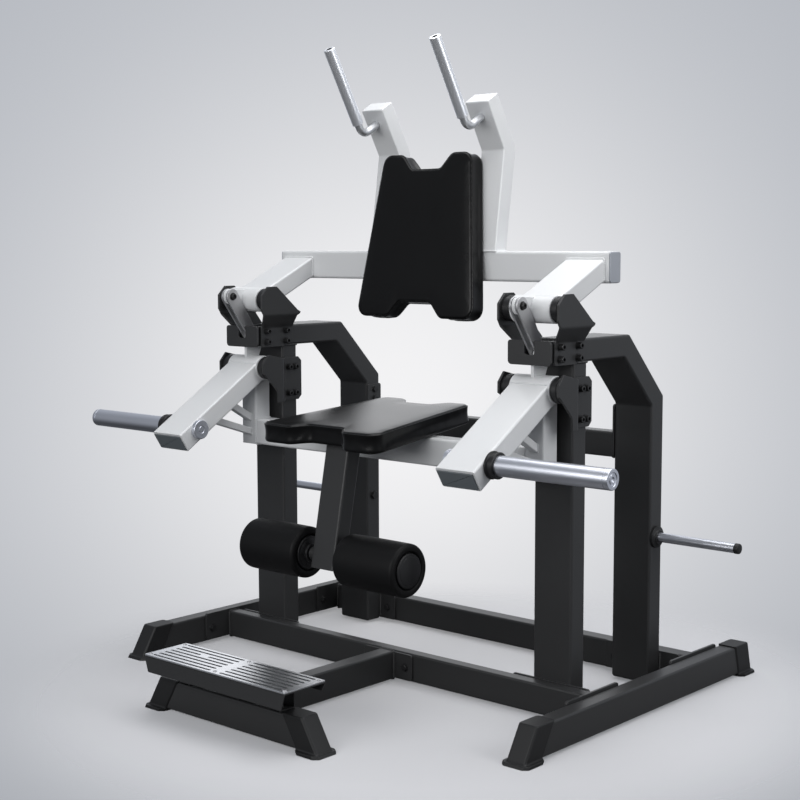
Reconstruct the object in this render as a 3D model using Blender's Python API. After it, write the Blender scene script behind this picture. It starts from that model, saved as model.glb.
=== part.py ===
"""Plate-loaded crunch machine, one named object for each piece. Metres, +Z up, front towards -Y."""

import math

import bmesh
import bpy
import numpy as np

# Spaces and roundings that every piece shares
GAP = 0.0003
BITE = 0.001
TUBE_ROUND = 0.005
PLATE_ROUND = 0.008
EDGE_SOFTENING = 0.002
CORNER_STEPS = 2
ROUND_STEPS = 20
BOLT_STEPS = 8
PIN_STEPS = 10
SMOOTH_ANGLE = math.radians(40)

# Bolts
BOLT_RADIUS = 0.009
BOLT_HEIGHT = 0.011

# Floor rails
RAIL_SPREAD = 0.701
RAIL_WIDTH = 0.050
BASE_HEIGHT = 0.080
BASE_LIFT = 0.007
RAIL_FRONT_TIP = -0.331
RAIL_REAR_TIP = 0.671
FRONT_SLOPE = 0.60
REAR_SLOPE = 0.265

# Rubber caps of the floor tubes
CAP_SIDE = 0.0035
CAP_WALL = 0.008
CAP_LENGTH = 0.073
CAP_CROWN = 0.003
CAP_ROUND = 0.009
FLANGE_THICKNESS = 0.008
FLANGE_SIDE = 0.012
FLANGE_REACH = 0.006
FLANGE_ROUND = 0.016
FLARE_HEIGHT = 0.006
FLARE_WIDTH = 0.003

# Cross members between the rails
FRONT_MEMBER_DEPTH = 0.040
REAR_MEMBER_DEPTH = 0.050
END_PLATE_THICKNESS = 0.008
END_PLATE_REACH = 0.094
END_PLATE_BOTTOM = 0.014
END_PLATE_TOP = 0.094
END_BOLT_INSET = 0.024

# Posts and arches
POST_INSET = 0.149
POST_WIDTH = 0.120
POST_DEPTH = 0.060
POST_FRONT = 0.003
REAR_POST_FRONT = 0.371
ARCH_TOP = 0.9785
ARCH_BEAM_HEIGHT = 0.060
ARCH_BEND_INSET = 0.170
ARCH_BEND_DROP = 0.1735
POST_PLATE_THICKNESS = 0.006
REAR_PLATE_THICKNESS = 0.008
POST_PLATE_OVERHANG = 0.062
POST_PLATE_BOTTOM = 0.010
POST_PLATE_TOP = 0.089
POST_BOLT_OVERHANG = 0.030

# Beam between the rear posts
REAR_BEAM_BOTTOM = 0.627
REAR_BEAM_HEIGHT = 0.071
REAR_BEAM_DEPTH = 0.050
REAR_BEAM_PLATE_RISE = 0.078
REAR_BEAM_PLATE_THICKNESS = 0.006
REAR_BEAM_BOLT_DROP = 0.018
REAR_BEAM_BOLT_PITCH = 0.030

# Step at the front
STEP_BAR_INSET = 0.080
STEP_BAR_DEPTH = 0.050
STEP_BAR_TIP = 0.265
STEP_BEAM_WIDTH = 0.050
STEP_FLANGE_WIDTH = 0.180
STEP_FLANGE_THICKNESS = 0.006
STEP_FLANGE_MARGIN = 0.003
STEP_BOLT_X = 0.065
FOOTPLATE_WIDTH = 0.520
FOOTPLATE_DEPTH = 0.140
FOOTPLATE_THICKNESS = 0.004
FOOTPLATE_FRONT = -0.701
FOOTPLATE_TOP = 0.163
FOOTPLATE_ROUND = 0.004
SLOT_ROWS = 7
SLOT_WIDTH = 0.008
SLOT_MARGIN_X = 0.022
SLOT_MARGIN_Y = 0.0125
SLOT_BRIDGE = 0.034
SLOT_PAD = 0.030
SLOT_PAD_ROWS = (4,)
STEP_SCREW_RADIUS = 0.005
STEP_SCREW_HEIGHT = 0.002
TRAY_SHEET = 0.003
TRAY_SKIRT = 0.042
TRAY_REAR_SKIRT = 0.024
TRAY_END_SLANT = 0.012
TRAY_WINDOW_HEIGHT = 0.014
TRAY_WINDOW_WIDTH = 0.110
TRAY_RISER_CLEARANCE = 0.004

# Upper yokes on the arch ends
YOKE_SHEET = 0.0075
YOKE_FRONT_REACH = 0.1065
YOKE_REAR_REACH = 0.036
YOKE_REAR_CHAMFER = 0.034
YOKE_BOX_HEIGHT = 0.062
YOKE_BOX_ROUND = 0.012
YOKE_SLOT_WIDTH = 0.030
YOKE_SLOT_DEPTH = 0.036
YOKE_FOLD_RISE = 0.037
EAR_SHEET = 0.0066
EAR_INNER = 0.089
YOKE_EAR_FRONT = 0.040
YOKE_EAR_REAR = 0.118
YOKE_EAR_SHOULDER = 0.022
YOKE_EAR_RISE = 0.039
YOKE_EAR_CHAMFER = 0.026
YOKE_EAR_LOW_CHAMFER = 0.012
YOKE_BOLT_FRONT_INSET = 0.038
YOKE_BOLT_PITCH_Y = 0.077
YOKE_BOLT_PITCH_Z = 0.031

# Upper pivot, its axle and its sleeve
PIVOT_FORWARD = 0.074
UPPER_PIVOT_RISE = 0.0765
LOWER_PIVOT_DROP = 0.1225
SLEEVE_RADIUS = 0.035
SLEEVE_OVERHANG = 0.002
AXLE_RADIUS = 0.015
BOSS_RADIUS = 0.032
BOSS_STEP = 0.004
BOSS_RIM = 0.012

# Lower brackets on the front posts
LOWER_TOP_RISE = 0.040
LOWER_FRONT_REACH = 0.037
LOWER_FRONT_CHAMFER_Y = 0.022
LOWER_FRONT_CHAMFER_Z = 0.025
LOWER_FRONT_DROP = 0.014
LOWER_NOSE_DROP = 0.018
LOWER_NOSE_Y = 0.029
LOWER_WAIST_Y = 0.022
LOWER_WAIST_DROP = 0.070
LOWER_BOTTOM_DROP = 0.103
LOWER_FOLD_Y = 0.045
LOWER_REAR_OVERHANG = 0.012
LOWER_REAR_TOP_RISE = 0.026
LOWER_REAR_CHAMFER = 0.012
LOWER_BOLT_FRONT = 0.019
LOWER_BOLT_PITCH_Y = 0.025
LOWER_BOLT_TOP_DROP = 0.003
LOWER_BOLT_PITCH_Z = 0.078

# Storage pegs on the rear posts
PEG_Z = 0.416
PEG_RADIUS = 0.013
PEG_REACH = 0.258
PEG_COLLAR_RADIUS = 0.030
PEG_COLLAR_LENGTH = 0.013
PEG_CAP_LENGTH = 0.014
PEG_CAP_GROWTH = 0.001
PEG_BOLT_RADIUS = 0.013

# Upper moving frame
UPPER_ARM_DEPTH = 0.054
UPPER_ARM_DROP = 0.0045
UPPER_ARM_PITCH = math.radians(25.4)
UPPER_BEAM_FORWARD = 0.207
UPPER_BEAM_DEPTH = 0.050
UPPER_BEAM_HEIGHT = 0.082
UPPER_BEAM_RISE = 0.101
UPPER_BEAM_OVERHANG = 0.013
END_CAP_THICKNESS = 0.004
END_CAP_INSET = 0.0015
UPRIGHT_SPREAD = 0.1915
UPRIGHT_WIDTH = 0.080
UPRIGHT_DEPTH = 0.050
UPRIGHT_LEAN = math.radians(8.0)
UPRIGHT_LENGTH = 0.277
UPRIGHT_HEAD_LEAN = math.radians(30.2)
UPRIGHT_HEAD_LENGTH = 0.145
HANDLE_RADIUS = 0.011
HANDLE_FOOT = 0.100
HANDLE_STANDOFF = 0.070
HANDLE_BEND = 0.026
HANDLE_BEND_STEPS = 6
HANDLE_STEPS = 14
GRIP_START = 0.036
GRIP_LENGTH = 0.230
GRIP_RADIUS = 0.016
GRIP_WALL = 0.004
GRIP_EYE_RADIUS = 0.005
GRIP_ROUND = 0.0015

# Link and its two pins
LINK_TOP_FORWARD = 0.077
LINK_TOP_RISE = 0.011
LINK_FOOT_BACK = 0.008
LINK_FOOT_RISE = 0.084
LINK_TOP_RADIUS = 0.022
LINK_FOOT_RADIUS = 0.017
LINK_SHEET = 0.006
LINK_INNER = 0.007
LINK_PIN_RADIUS = 0.006
LINK_PIN_PLAY = 0.003
LINK_HEAD_RADIUS = 0.009
LINK_HEAD_HEIGHT = 0.008
EAR_THICKNESS = 0.010
EAR_ROOT_RADIUS = 0.030
CRANK_THICKNESS = 0.009
CRANK_HEAD_RADIUS = 0.019
CRANK_FRONT = 0.019
CRANK_REAR = 0.044
CRANK_FOOT_RISE = 0.020
CRANK_SHOULDER_RISE = 0.060

# Lower moving frame
ARM_DEPTH = 0.058
ARM_PITCH = math.radians(32.1)
ARM_LENGTH = 0.3686
HORN_RADIUS = 0.025
HORN_ALONG = 0.301
HORN_OFFSET = 0.001
HORN_REACH = 0.341
HORN_FLANGE_RADIUS = 0.027
HORN_FLANGE_LENGTH = 0.012
HORN_GROOVE_INSET = 0.010
HORN_GROOVE_WIDTH = 0.003
HORN_GROOVE_DEPTH = 0.0012
HORN_DISH_RADIUS = 0.013
HORN_DISH_DEPTH = 0.0015
HORN_CHAMFER = 0.002
COLLAR_RADIUS = 0.034
COLLAR_LENGTH = 0.023
COLLAR_WAIST = 0.004
COLLAR_LIP = 0.006
HANGER_WIDTH = 0.060
HANGER_DEPTH = 0.060
HANGER_FORWARD = 0.009
BRACE_THICKNESS = 0.020
BRACE_WIDTH = 0.025
BRACE_DROPS = (0.150, 0.192)
BRACE_REACHES = (0.089, 0.160)
BRACE_PITCHES = (math.radians(30), math.radians(18))
SEAT_BEAM_HEIGHT = 0.076
SEAT_BEAM_DROP = 0.153

# Cushions
PAD_THICKNESS = 0.056
PAD_CROWN = 0.004
PAD_DRAW = 0.002
PAD_EDGE = 0.006
PAD_SEAM_INSET = 0.012
PAD_SEAM_WIDTH = 0.004
PAD_SEAM_DEPTH = 0.002
PAD_ROUND = 0.034
PAD_LOBE_ROUND = 0.030
PAD_NOTCH_ROUND = 0.018
PAD_NOTCH_DEPTH = 0.043
PAD_NOTCH_SLANT = 0.038
PAD_SLOPE_STEPS = 3
CROWN_SCALES = (1.0, 0.82, 0.6, 0.35)
BACK_TOP_HALF = 0.162
BACK_BOTTOM_HALF = 0.219
BACK_LENGTH = 0.464
BACK_TOP_NOTCH = 0.050
BACK_BOTTOM_NOTCH = 0.0565
BACK_DROP = 0.1955
SEAT_FRONT_HALF = 0.217
SEAT_REAR_HALF = 0.162
SEAT_LENGTH = 0.462
SEAT_FRONT_NOTCH = 0.060
SEAT_REAR_NOTCH = 0.044
SEAT_TILT = math.radians(4.9)
SEAT_FORWARD = 0.250

# Seat spine and roller post
SPINE_DEPTH = 0.030
SPINE_REAR_REACH = 0.084
SPINE_REAR_DEPTH = 0.012
ROLLER_POST_WIDTH = 0.084
ROLLER_POST_DEPTH = 0.050
ROLLER_POST_LEAN = math.radians(11.2)
ROLLER_POST_LENGTH = 0.346
ROLLER_POST_FORWARD = 0.165
ROLLER_AXLE_RISE = 0.036
ROLLER_AXLE_RADIUS = 0.0125
ROLLER_SHOULDER_RADIUS = 0.019
ROLLER_SHOULDER_LENGTH = 0.018
ROLLER_RADIUS = 0.070
ROLLER_START = 0.073
ROLLER_LENGTH = 0.211
ROLLER_END_ROUND = 0.010
ROLLER_CAP_RADIUS = 0.046
ROLLER_CAP_BULGE = 0.005
ROLLER_CAP_SHOULDER = 0.6
ROLLER_HUB_RADIUS = 0.026
ROLLER_HUB_LENGTH = 0.011
ROLLER_BORE_WALL = 0.018
ROLLER_AXLE_CLEARANCE = 0.004
ROLLER_BELLY = 0.0005

# Sizes that follow from the ones above
RAIL_INNER = RAIL_SPREAD - RAIL_WIDTH / 2
BASE_MIDDLE = BASE_LIFT + BASE_HEIGHT / 2
BASE_TOP = BASE_LIFT + BASE_HEIGHT
CAP_TOP = BASE_TOP + CAP_SIDE
POST_SPREAD = RAIL_INNER - POST_INSET
POST_HALF = POST_WIDTH / 2
POST_REAR = POST_FRONT + POST_DEPTH
REAR_POST_REAR = REAR_POST_FRONT + POST_DEPTH
ARCH_UNDERSIDE = ARCH_TOP - ARCH_BEAM_HEIGHT
FRONT_MEMBER_REAR = POST_FRONT - POST_PLATE_THICKNESS - GAP
FRONT_MEMBER_FRONT = FRONT_MEMBER_REAR - FRONT_MEMBER_DEPTH
REAR_MEMBER_FRONT = REAR_POST_REAR + REAR_PLATE_THICKNESS + GAP
REAR_MEMBER_REAR = REAR_MEMBER_FRONT + REAR_MEMBER_DEPTH
PIVOT_Y = POST_FRONT - PIVOT_FORWARD
UPPER_PIVOT_Z = ARCH_TOP + UPPER_PIVOT_RISE
LOWER_PIVOT_Z = ARCH_TOP - LOWER_PIVOT_DROP
SLEEVE_HALF = POST_HALF + SLEEVE_OVERHANG
EAR_OUTER = EAR_INNER + EAR_SHEET
LINK_TOP = (PIVOT_Y - LINK_TOP_FORWARD, UPPER_PIVOT_Z + LINK_TOP_RISE)
LINK_FOOT = (PIVOT_Y + LINK_FOOT_BACK, LOWER_PIVOT_Z + LINK_FOOT_RISE)
LINK_OUTER = LINK_INNER + LINK_SHEET
UPPER_BEAM_FRONT = PIVOT_Y + UPPER_BEAM_FORWARD
UPPER_BEAM_REAR = UPPER_BEAM_FRONT + UPPER_BEAM_DEPTH
UPPER_BEAM_MIDDLE_Z = UPPER_PIVOT_Z + UPPER_BEAM_RISE
UPPER_BEAM_TOP = UPPER_BEAM_MIDDLE_Z + UPPER_BEAM_HEIGHT / 2
UPPER_BEAM_HALF = POST_SPREAD + POST_HALF + UPPER_BEAM_OVERHANG
HANGER_FRONT = PIVOT_Y - HANGER_FORWARD
HANGER_REAR = HANGER_FRONT + HANGER_DEPTH
SEAT_BEAM_TOP = LOWER_PIVOT_Z - SEAT_BEAM_DROP
SEAT_BEAM_BOTTOM = SEAT_BEAM_TOP - SEAT_BEAM_HEIGHT
SEAT_BEAM_HALF = POST_SPREAD - HANGER_WIDTH / 2 - GAP
SEAT_FRONT_Y = HANGER_FRONT - SEAT_FORWARD
FOOTPLATE_BOTTOM = FOOTPLATE_TOP - FOOTPLATE_THICKNESS
FOOTPLATE_REAR = FOOTPLATE_FRONT + FOOTPLATE_DEPTH
STEP_BAR_Y = FOOTPLATE_FRONT + STEP_BAR_INSET
ARM_ALONG = (-math.cos(ARM_PITCH), -math.sin(ARM_PITCH))
ARM_UP = (-math.sin(ARM_PITCH), math.cos(ARM_PITCH))
HORN_Y = PIVOT_Y + ARM_ALONG[0] * HORN_ALONG + ARM_UP[0] * HORN_OFFSET
HORN_Z = LOWER_PIVOT_Z + ARM_ALONG[1] * HORN_ALONG + ARM_UP[1] * HORN_OFFSET

SIDES = ((-1, "left"), (1, "right"))

# Colour, roughness and metallic share of each finish
FINISHES = {
    "charcoal_paint": ((0.040, 0.041, 0.043), 0.42, 0.0),
    "white_paint": ((0.78, 0.79, 0.80), 0.30, 0.15),
    "chrome": ((0.80, 0.82, 0.86), 0.08, 1.0),
    "steel": ((0.55, 0.56, 0.58), 0.32, 0.8),
    "aluminium": ((0.72, 0.73, 0.75), 0.35, 1.0),
    "rubber": ((0.018, 0.018, 0.019), 0.65, 0.0),
    "vinyl": ((0.012, 0.012, 0.013), 0.38, 0.0),
    "foam": ((0.010, 0.010, 0.011), 0.55, 0.0),
    "slate_plastic": ((0.060, 0.075, 0.085), 0.45, 0.0),
    "grey_plastic": ((0.33, 0.35, 0.39), 0.40, 0.0),
}


def clear_scene():
    """Takes every object out of the scene."""
    for item in list(bpy.data.objects):
        bpy.data.objects.remove(item, do_unlink=True)


def paint(item, finish):
    """Gives the object a material of its own in the named finish."""
    colour, roughness, metallic = FINISHES[finish]
    look = bpy.data.materials.new(item.name + "_" + finish)
    look.use_nodes = True
    shader = look.node_tree.nodes["Principled BSDF"]
    shader.inputs["Base Color"].default_value = (*colour, 1.0)
    shader.inputs["Roughness"].default_value = roughness
    shader.inputs["Metallic"].default_value = metallic
    item.data.materials.clear()
    item.data.materials.append(look)
    return item


def mesh_object(name, points, faces):
    """A closed mesh as an object whose origin is the middle of its box."""
    points = np.asarray(points, float)
    middle = (points.min(axis=0) + points.max(axis=0)) / 2
    mesh = bpy.data.meshes.new(name)
    mesh.from_pydata((points - middle).tolist(), [], faces)
    shell = bmesh.new()
    shell.from_mesh(mesh)
    bmesh.ops.recalc_face_normals(shell, faces=shell.faces)
    shell.to_mesh(mesh)
    shell.free()
    mesh.shade_smooth()
    mesh.set_sharp_from_angle(angle=SMOOTH_ANGLE)
    item = bpy.data.objects.new(name, mesh)
    item.location = middle
    bpy.context.scene.collection.objects.link(item)
    return item


def loft(name, rings, closed=False):
    """Rings of equally many points joined in order, with flat ends unless the last meets the first."""
    count = len(rings[0])
    points = np.concatenate(rings)
    total = len(rings)
    faces = []
    for ring in range(total if closed else total - 1):
        here = ring * count
        there = ((ring + 1) % total) * count
        for index in range(count):
            after = (index + 1) % count
            faces.append((here + index, here + after, there + after, there + index))
    if not closed:
        last = (total - 1) * count
        faces.append(tuple(range(count)))
        faces.append(tuple(range(last, last + count)))
    return mesh_object(name, points, faces)


def fillet(corners, radii, steps=CORNER_STEPS):
    """The outline with each corner rounded, each radius limited by the edges beside it."""
    corners = np.asarray(corners, float)
    radii = np.broadcast_to(np.asarray(radii, float), len(corners))
    outline = []
    for index, corner in enumerate(corners):
        before = corners[index - 1] - corner
        after = corners[(index + 1) % len(corners)] - corner
        reach = min(np.linalg.norm(before), np.linalg.norm(after)) / 2 - BITE / 10
        before /= np.linalg.norm(before)
        after /= np.linalg.norm(after)
        half = math.acos(np.clip(before @ after, -1, 1)) / 2
        setback = min(radii[index] / math.tan(half), reach)
        radius = setback * math.tan(half)
        if radius < BITE / 10:
            outline.append(corner)
            continue
        bisector = before + after
        centre = corner + bisector / np.linalg.norm(bisector) * radius / math.sin(half)
        first = corner + before * setback - centre
        last = corner + after * setback - centre
        sweep = math.acos(np.clip(first @ last / radius**2, -1, 1))
        for step in range(steps + 1):
            share = step / steps
            blend = math.sin((1 - share) * sweep) * first + math.sin(share * sweep) * last
            outline.append(centre + blend / math.sin(sweep))
    return np.array(outline)


def rectangle(width, height, radius=TUBE_ROUND, centre=(0.0, 0.0)):
    """A rounded rectangle about its centre."""
    across = width / 2
    up = height / 2
    corners = [(-across, -up), (across, -up), (across, up), (-across, up)]
    return fillet(corners, radius) + np.array(centre)


def span(low, high, bottom, top, radius=TUBE_ROUND):
    """A rounded rectangle between two pairs of limits."""
    return rectangle(high - low, top - bottom, radius, ((low + high) / 2, (bottom + top) / 2))


def circle(centre, radius, steps=ROUND_STEPS):
    """Points round a circle in a plane."""
    turns = np.arange(steps) * 2 * math.pi / steps
    return np.array(centre) + radius * np.stack([np.cos(turns), np.sin(turns)], axis=1)


def hull(points):
    """The convex outline round the points, anticlockwise."""
    points = sorted(set(map(tuple, np.round(points, 7))))
    halves = []
    for run in (points, points[::-1]):
        half = []
        for point in run:
            while len(half) > 1 and turn(half[-2], half[-1], point) <= 0:
                half.pop()
            half.append(point)
        halves.append(half[:-1])
    return np.array(halves[0] + halves[1])


def turn(first, second, third):
    """Twice the signed area of the triangle."""
    one = (second[0] - first[0]) * (third[1] - first[1])
    return one - (second[1] - first[1]) * (third[0] - first[0])


def prism(name, outline, low, high, axis="X"):
    """The outline pushed along an axis: (y, z) along X, (x, z) along Y, (x, y) along Z."""
    place = "XYZ".index(axis)
    rings = []
    for level in (low, high):
        rings.append(np.insert(np.asarray(outline), place, level, axis=1))
    return loft(name, rings)


def bar(name, outline, start, along, up, length, start_lean=0.0, end_lean=0.0):
    """The outline swept straight, with either end cut on a slant that grows with its height."""
    along = np.array(along, float)
    up = np.array(up, float)
    across = np.cross(along, up)
    outline = np.asarray(outline)
    side = outline[:, :1] * across + outline[:, 1:] * up
    rings = []
    for reach, lean in ((0.0, start_lean), (length, end_lean)):
        distance = reach + lean * outline[:, 1:]
        rings.append(np.array(start) + side + distance * along)
    return loft(name, rings)


def turned(name, profile, start, axis="X", sense=1, steps=ROUND_STEPS, closed=False):
    """A profile of (distance, radius) turned about a line along one axis."""
    place = "XYZ".index(axis)
    rings = []
    for distance, radius in profile:
        ring = np.insert(circle((0.0, 0.0), radius, steps), place, sense * distance, axis=1)
        rings.append(ring + np.array(start))
    return loft(name, rings, closed)


def swept(name, path, radius, steps=HANDLE_STEPS):
    """A round rod along a path that lies in a plane across X."""
    path = np.asarray(path)
    ways = np.diff(path, axis=0)
    ways /= np.linalg.norm(ways, axis=1)[:, None]
    first = np.vstack([ways[:1], ways])
    second = np.vstack([ways, ways[-1:]])
    tangents = first + second
    tangents /= np.linalg.norm(tangents, axis=1)[:, None]
    normals = np.cross(tangents, (1.0, 0.0, 0.0))
    ring = circle((0.0, 0.0), radius, steps)
    rings = []
    for point, normal in zip(path, normals):
        rings.append(point + ring[:, :1] * np.array((1.0, 0.0, 0.0)) + ring[:, 1:] * normal)
    return loft(name, rings)


def combine(target, tools, operation):
    """Adds each tool to the target, or takes it away, and hides the tool."""
    for tool in tools:
        step = target.modifiers.new(tool.name, "BOOLEAN")
        step.operation = operation
        step.solver = "EXACT"
        step.object = tool
        tool.hide_render = True
        tool.display_type = "WIRE"
    return target


def join(target, *tools):
    """Welds the tools onto the target."""
    return combine(target, tools, "UNION")


def cut(target, *tools):
    """Takes the tools out of the target."""
    return combine(target, tools, "DIFFERENCE")


def soften(item, width=EDGE_SOFTENING):
    """Rounds the hard edges of a plain solid."""
    bevel = item.modifiers.new("soft_edges", "BEVEL")
    bevel.width = width
    bevel.segments = 1
    bevel.limit_method = "ANGLE"
    bevel.angle_limit = SMOOTH_ANGLE
    return item


def bolts(name, places, axis, sense, radius=BOLT_RADIUS, height=BOLT_HEIGHT):
    """Bolt heads that stand on a face and bite into it."""
    profile = ((-BITE, radius), (height, radius - BITE))
    heads = []
    for index, place in enumerate(places):
        title = name + "_bolt_" + str(index)
        heads.append(turned(title, profile, place, axis, sense, BOLT_STEPS))
    return heads


def empty(name, place):
    """A marker on a joint axis, the parent of what turns about it."""
    marker = bpy.data.objects.new(name, None)
    marker.location = place
    bpy.context.scene.collection.objects.link(marker)
    return marker


def hang(item, marker):
    """Puts the piece under its joint marker and leaves it where it is."""
    item.parent = marker
    item.location = item.location - marker.location
    for modifier in item.modifiers:
        if modifier.type == "BOOLEAN":
            modifier.object.parent = marker
            modifier.object.location = modifier.object.location - marker.location
    return item


def side_rail(side, word):
    """A floor rail whose ends are cut on a slant under the caps."""
    front = RAIL_FRONT_TIP + CAP_WALL + FRONT_SLOPE * (BASE_MIDDLE - CAP_TOP)
    rear = RAIL_REAR_TIP - CAP_WALL + REAR_SLOPE * (CAP_TOP - BASE_MIDDLE)
    outline = rectangle(RAIL_WIDTH, BASE_HEIGHT)
    start = (side * RAIL_SPREAD, front, BASE_MIDDLE)
    length = rear - front
    name = "side_rail_" + word
    rail = bar(name, outline, start, (0, 1, 0), (0, 0, 1), length, FRONT_SLOPE, -REAR_SLOPE)
    return paint(rail, "charcoal_paint")


def foot_cap(name, tip, line, way, slope, tube_width):
    """A rubber cap over a tube end: a slanted box with a flared foot, and a pocket for the tube."""
    half = tube_width / 2 + CAP_SIDE
    levels = (
        (0.0, FLANGE_SIDE - BITE, FLANGE_REACH - BITE, FLANGE_ROUND),
        (BITE, FLANGE_SIDE, FLANGE_REACH, FLANGE_ROUND),
        (FLANGE_THICKNESS - BITE, FLANGE_SIDE, FLANGE_REACH, FLANGE_ROUND),
        (FLANGE_THICKNESS, FLANGE_SIDE - BITE, FLANGE_REACH - BITE, FLANGE_ROUND),
        (FLANGE_THICKNESS + BITE, FLARE_WIDTH, FLARE_WIDTH, CAP_ROUND),
        (FLANGE_THICKNESS + FLARE_HEIGHT, 0.0, 0.0, CAP_ROUND),
        (CAP_TOP - CAP_CROWN, 0.0, 0.0, CAP_ROUND),
        (CAP_TOP, -CAP_CROWN, -CAP_CROWN, CAP_ROUND - CAP_CROWN),
    )
    rings = []
    for level, side_growth, reach, radius in levels:
        shift = slope * (CAP_TOP - level)
        ring = span(-half - side_growth, half + side_growth, shift - CAP_LENGTH, shift + reach, radius)
        rings.append(placed(ring, level, tip, line, way))
    cap = loft(name, rings)
    pocket = rectangle(tube_width + 2 * GAP, BASE_HEIGHT + 2 * GAP, TUBE_ROUND + GAP)
    end = slope * (CAP_TOP - BASE_MIDDLE) - CAP_WALL + GAP
    reach = 2 * CAP_LENGTH
    rings = []
    for distance in (end, end - reach):
        lean = distance - slope * pocket[:, 1]
        ring = np.stack([pocket[:, 0], lean], axis=1)
        rings.append(placed(ring, BASE_MIDDLE + pocket[:, 1], tip, line, way))
    cut(cap, loft(name + "_pocket", rings))
    return paint(cap, "rubber")


def placed(ring, level, tip, line, way):
    """Points given as (across, outward) set out from the tube's end along X or Y."""
    across = ring[:, 0] + line
    outward = tip + way[1] * ring[:, 1]
    height = np.broadcast_to(level, across.shape)
    if way[0] == "Y":
        return np.stack([across, outward, height], axis=1)
    return np.stack([outward, across, height], axis=1)


def rail_feet(side, word):
    """The caps at the two ends of one rail."""
    line = side * RAIL_SPREAD
    foot_cap("rail_foot_front_" + word, RAIL_FRONT_TIP, line, ("Y", -1), FRONT_SLOPE, RAIL_WIDTH)
    foot_cap("rail_foot_rear_" + word, RAIL_REAR_TIP, line, ("Y", 1), REAR_SLOPE, RAIL_WIDTH)


def cross_member(name, front, rear):
    """A tube between the rails with a bolted plate at each end."""
    outer = RAIL_INNER - GAP
    inner = outer - END_PLATE_THICKNESS
    tube = prism(name, span(front, rear, BASE_LIFT, BASE_TOP), -inner - BITE, inner + BITE)
    for side, word in SIDES:
        low = front - END_PLATE_REACH
        high = rear + END_PLATE_REACH
        outline = span(low, high, END_PLATE_BOTTOM, END_PLATE_TOP, PLATE_ROUND)
        limits = sorted((side * inner, side * outer))
        join(tube, prism(name + "_plate_" + word, outline, *limits))
        places = [(side * inner, y, BASE_MIDDLE) for y in (low + END_BOLT_INSET, high - END_BOLT_INSET)]
        join(tube, *bolts(name + "_" + word, places, "X", -side))
    return paint(tube, "charcoal_paint")


def step_frame():
    """The bar under the step, the beam back to the front cross member and its bolted flange."""
    tip = STEP_BAR_TIP - CAP_WALL + FRONT_SLOPE * (CAP_TOP - BASE_MIDDLE)
    outline = rectangle(STEP_BAR_DEPTH, BASE_HEIGHT)
    start = (-tip, STEP_BAR_Y, BASE_MIDDLE)
    frame = bar("step_frame", outline, start, (1, 0, 0), (0, 0, 1), 2 * tip, FRONT_SLOPE, -FRONT_SLOPE)
    rear = FRONT_MEMBER_FRONT - GAP
    start = (0, STEP_BAR_Y, BASE_MIDDLE)
    outline = rectangle(STEP_BEAM_WIDTH, BASE_HEIGHT)
    length = rear - STEP_FLANGE_THICKNESS + BITE - STEP_BAR_Y
    beam = bar("step_beam", outline, start, (0, 1, 0), (0, 0, 1), length)
    half = STEP_FLANGE_WIDTH / 2
    outline = span(-half, half, BASE_LIFT + STEP_FLANGE_MARGIN, BASE_TOP - STEP_FLANGE_MARGIN, PLATE_ROUND)
    flange = prism("step_flange", outline, rear - STEP_FLANGE_THICKNESS, rear, "Y")
    places = [(side * STEP_BOLT_X, rear - STEP_FLANGE_THICKNESS, BASE_MIDDLE) for side, word in SIDES]
    join(frame, beam, flange, *bolts("step_frame", places, "Y", -1))
    return paint(frame, "charcoal_paint")


def step_feet():
    """The caps at the two ends of the step bar."""
    for side, word in SIDES:
        way = ("X", side)
        foot_cap("step_foot_" + word, side * STEP_BAR_TIP, STEP_BAR_Y, way, FRONT_SLOPE, STEP_BAR_DEPTH)


def footplate():
    """The slotted tread."""
    half = FOOTPLATE_WIDTH / 2
    outline = span(-half, half, FOOTPLATE_FRONT, FOOTPLATE_REAR, FOOTPLATE_ROUND)
    plate = prism("footplate", outline, FOOTPLATE_BOTTOM, FOOTPLATE_TOP, "Z")
    pitch = (FOOTPLATE_DEPTH - 2 * SLOT_MARGIN_Y) / (SLOT_ROWS - 1)
    shells = []
    for row in range(SLOT_ROWS):
        y = FOOTPLATE_FRONT + SLOT_MARGIN_Y + row * pitch
        for side, word in SIDES:
            inner = SLOT_BRIDGE / 2
            outer = half - SLOT_MARGIN_X
            runs = [(inner, outer)]
            if side < 0 and row in SLOT_PAD_ROWS:
                middle = (inner + outer) / 2
                runs = [(inner, middle - SLOT_PAD / 2), (middle + SLOT_PAD / 2, outer)]
            for low, high in runs:
                limits = sorted((side * low, side * high))
                rounding = (SLOT_WIDTH - BITE) / 2
                shells.append(span(*limits, y - SLOT_WIDTH / 2, y + SLOT_WIDTH / 2, rounding))
    cut(plate, shell_set("footplate_slots", shells, FOOTPLATE_BOTTOM - BITE, FOOTPLATE_TOP + BITE))
    low = FOOTPLATE_FRONT + SLOT_MARGIN_Y
    high = FOOTPLATE_REAR - SLOT_MARGIN_Y
    places = [(0, low, FOOTPLATE_TOP), (0, high, FOOTPLATE_TOP)]
    edge = half - SLOT_MARGIN_X / 2
    for side, word in SIDES:
        places += [(side * edge, low, FOOTPLATE_TOP), (side * edge, high, FOOTPLATE_TOP)]
    join(plate, *bolts("footplate", places, "Z", 1, STEP_SCREW_RADIUS, STEP_SCREW_HEIGHT))
    return paint(plate, "aluminium")


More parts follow.
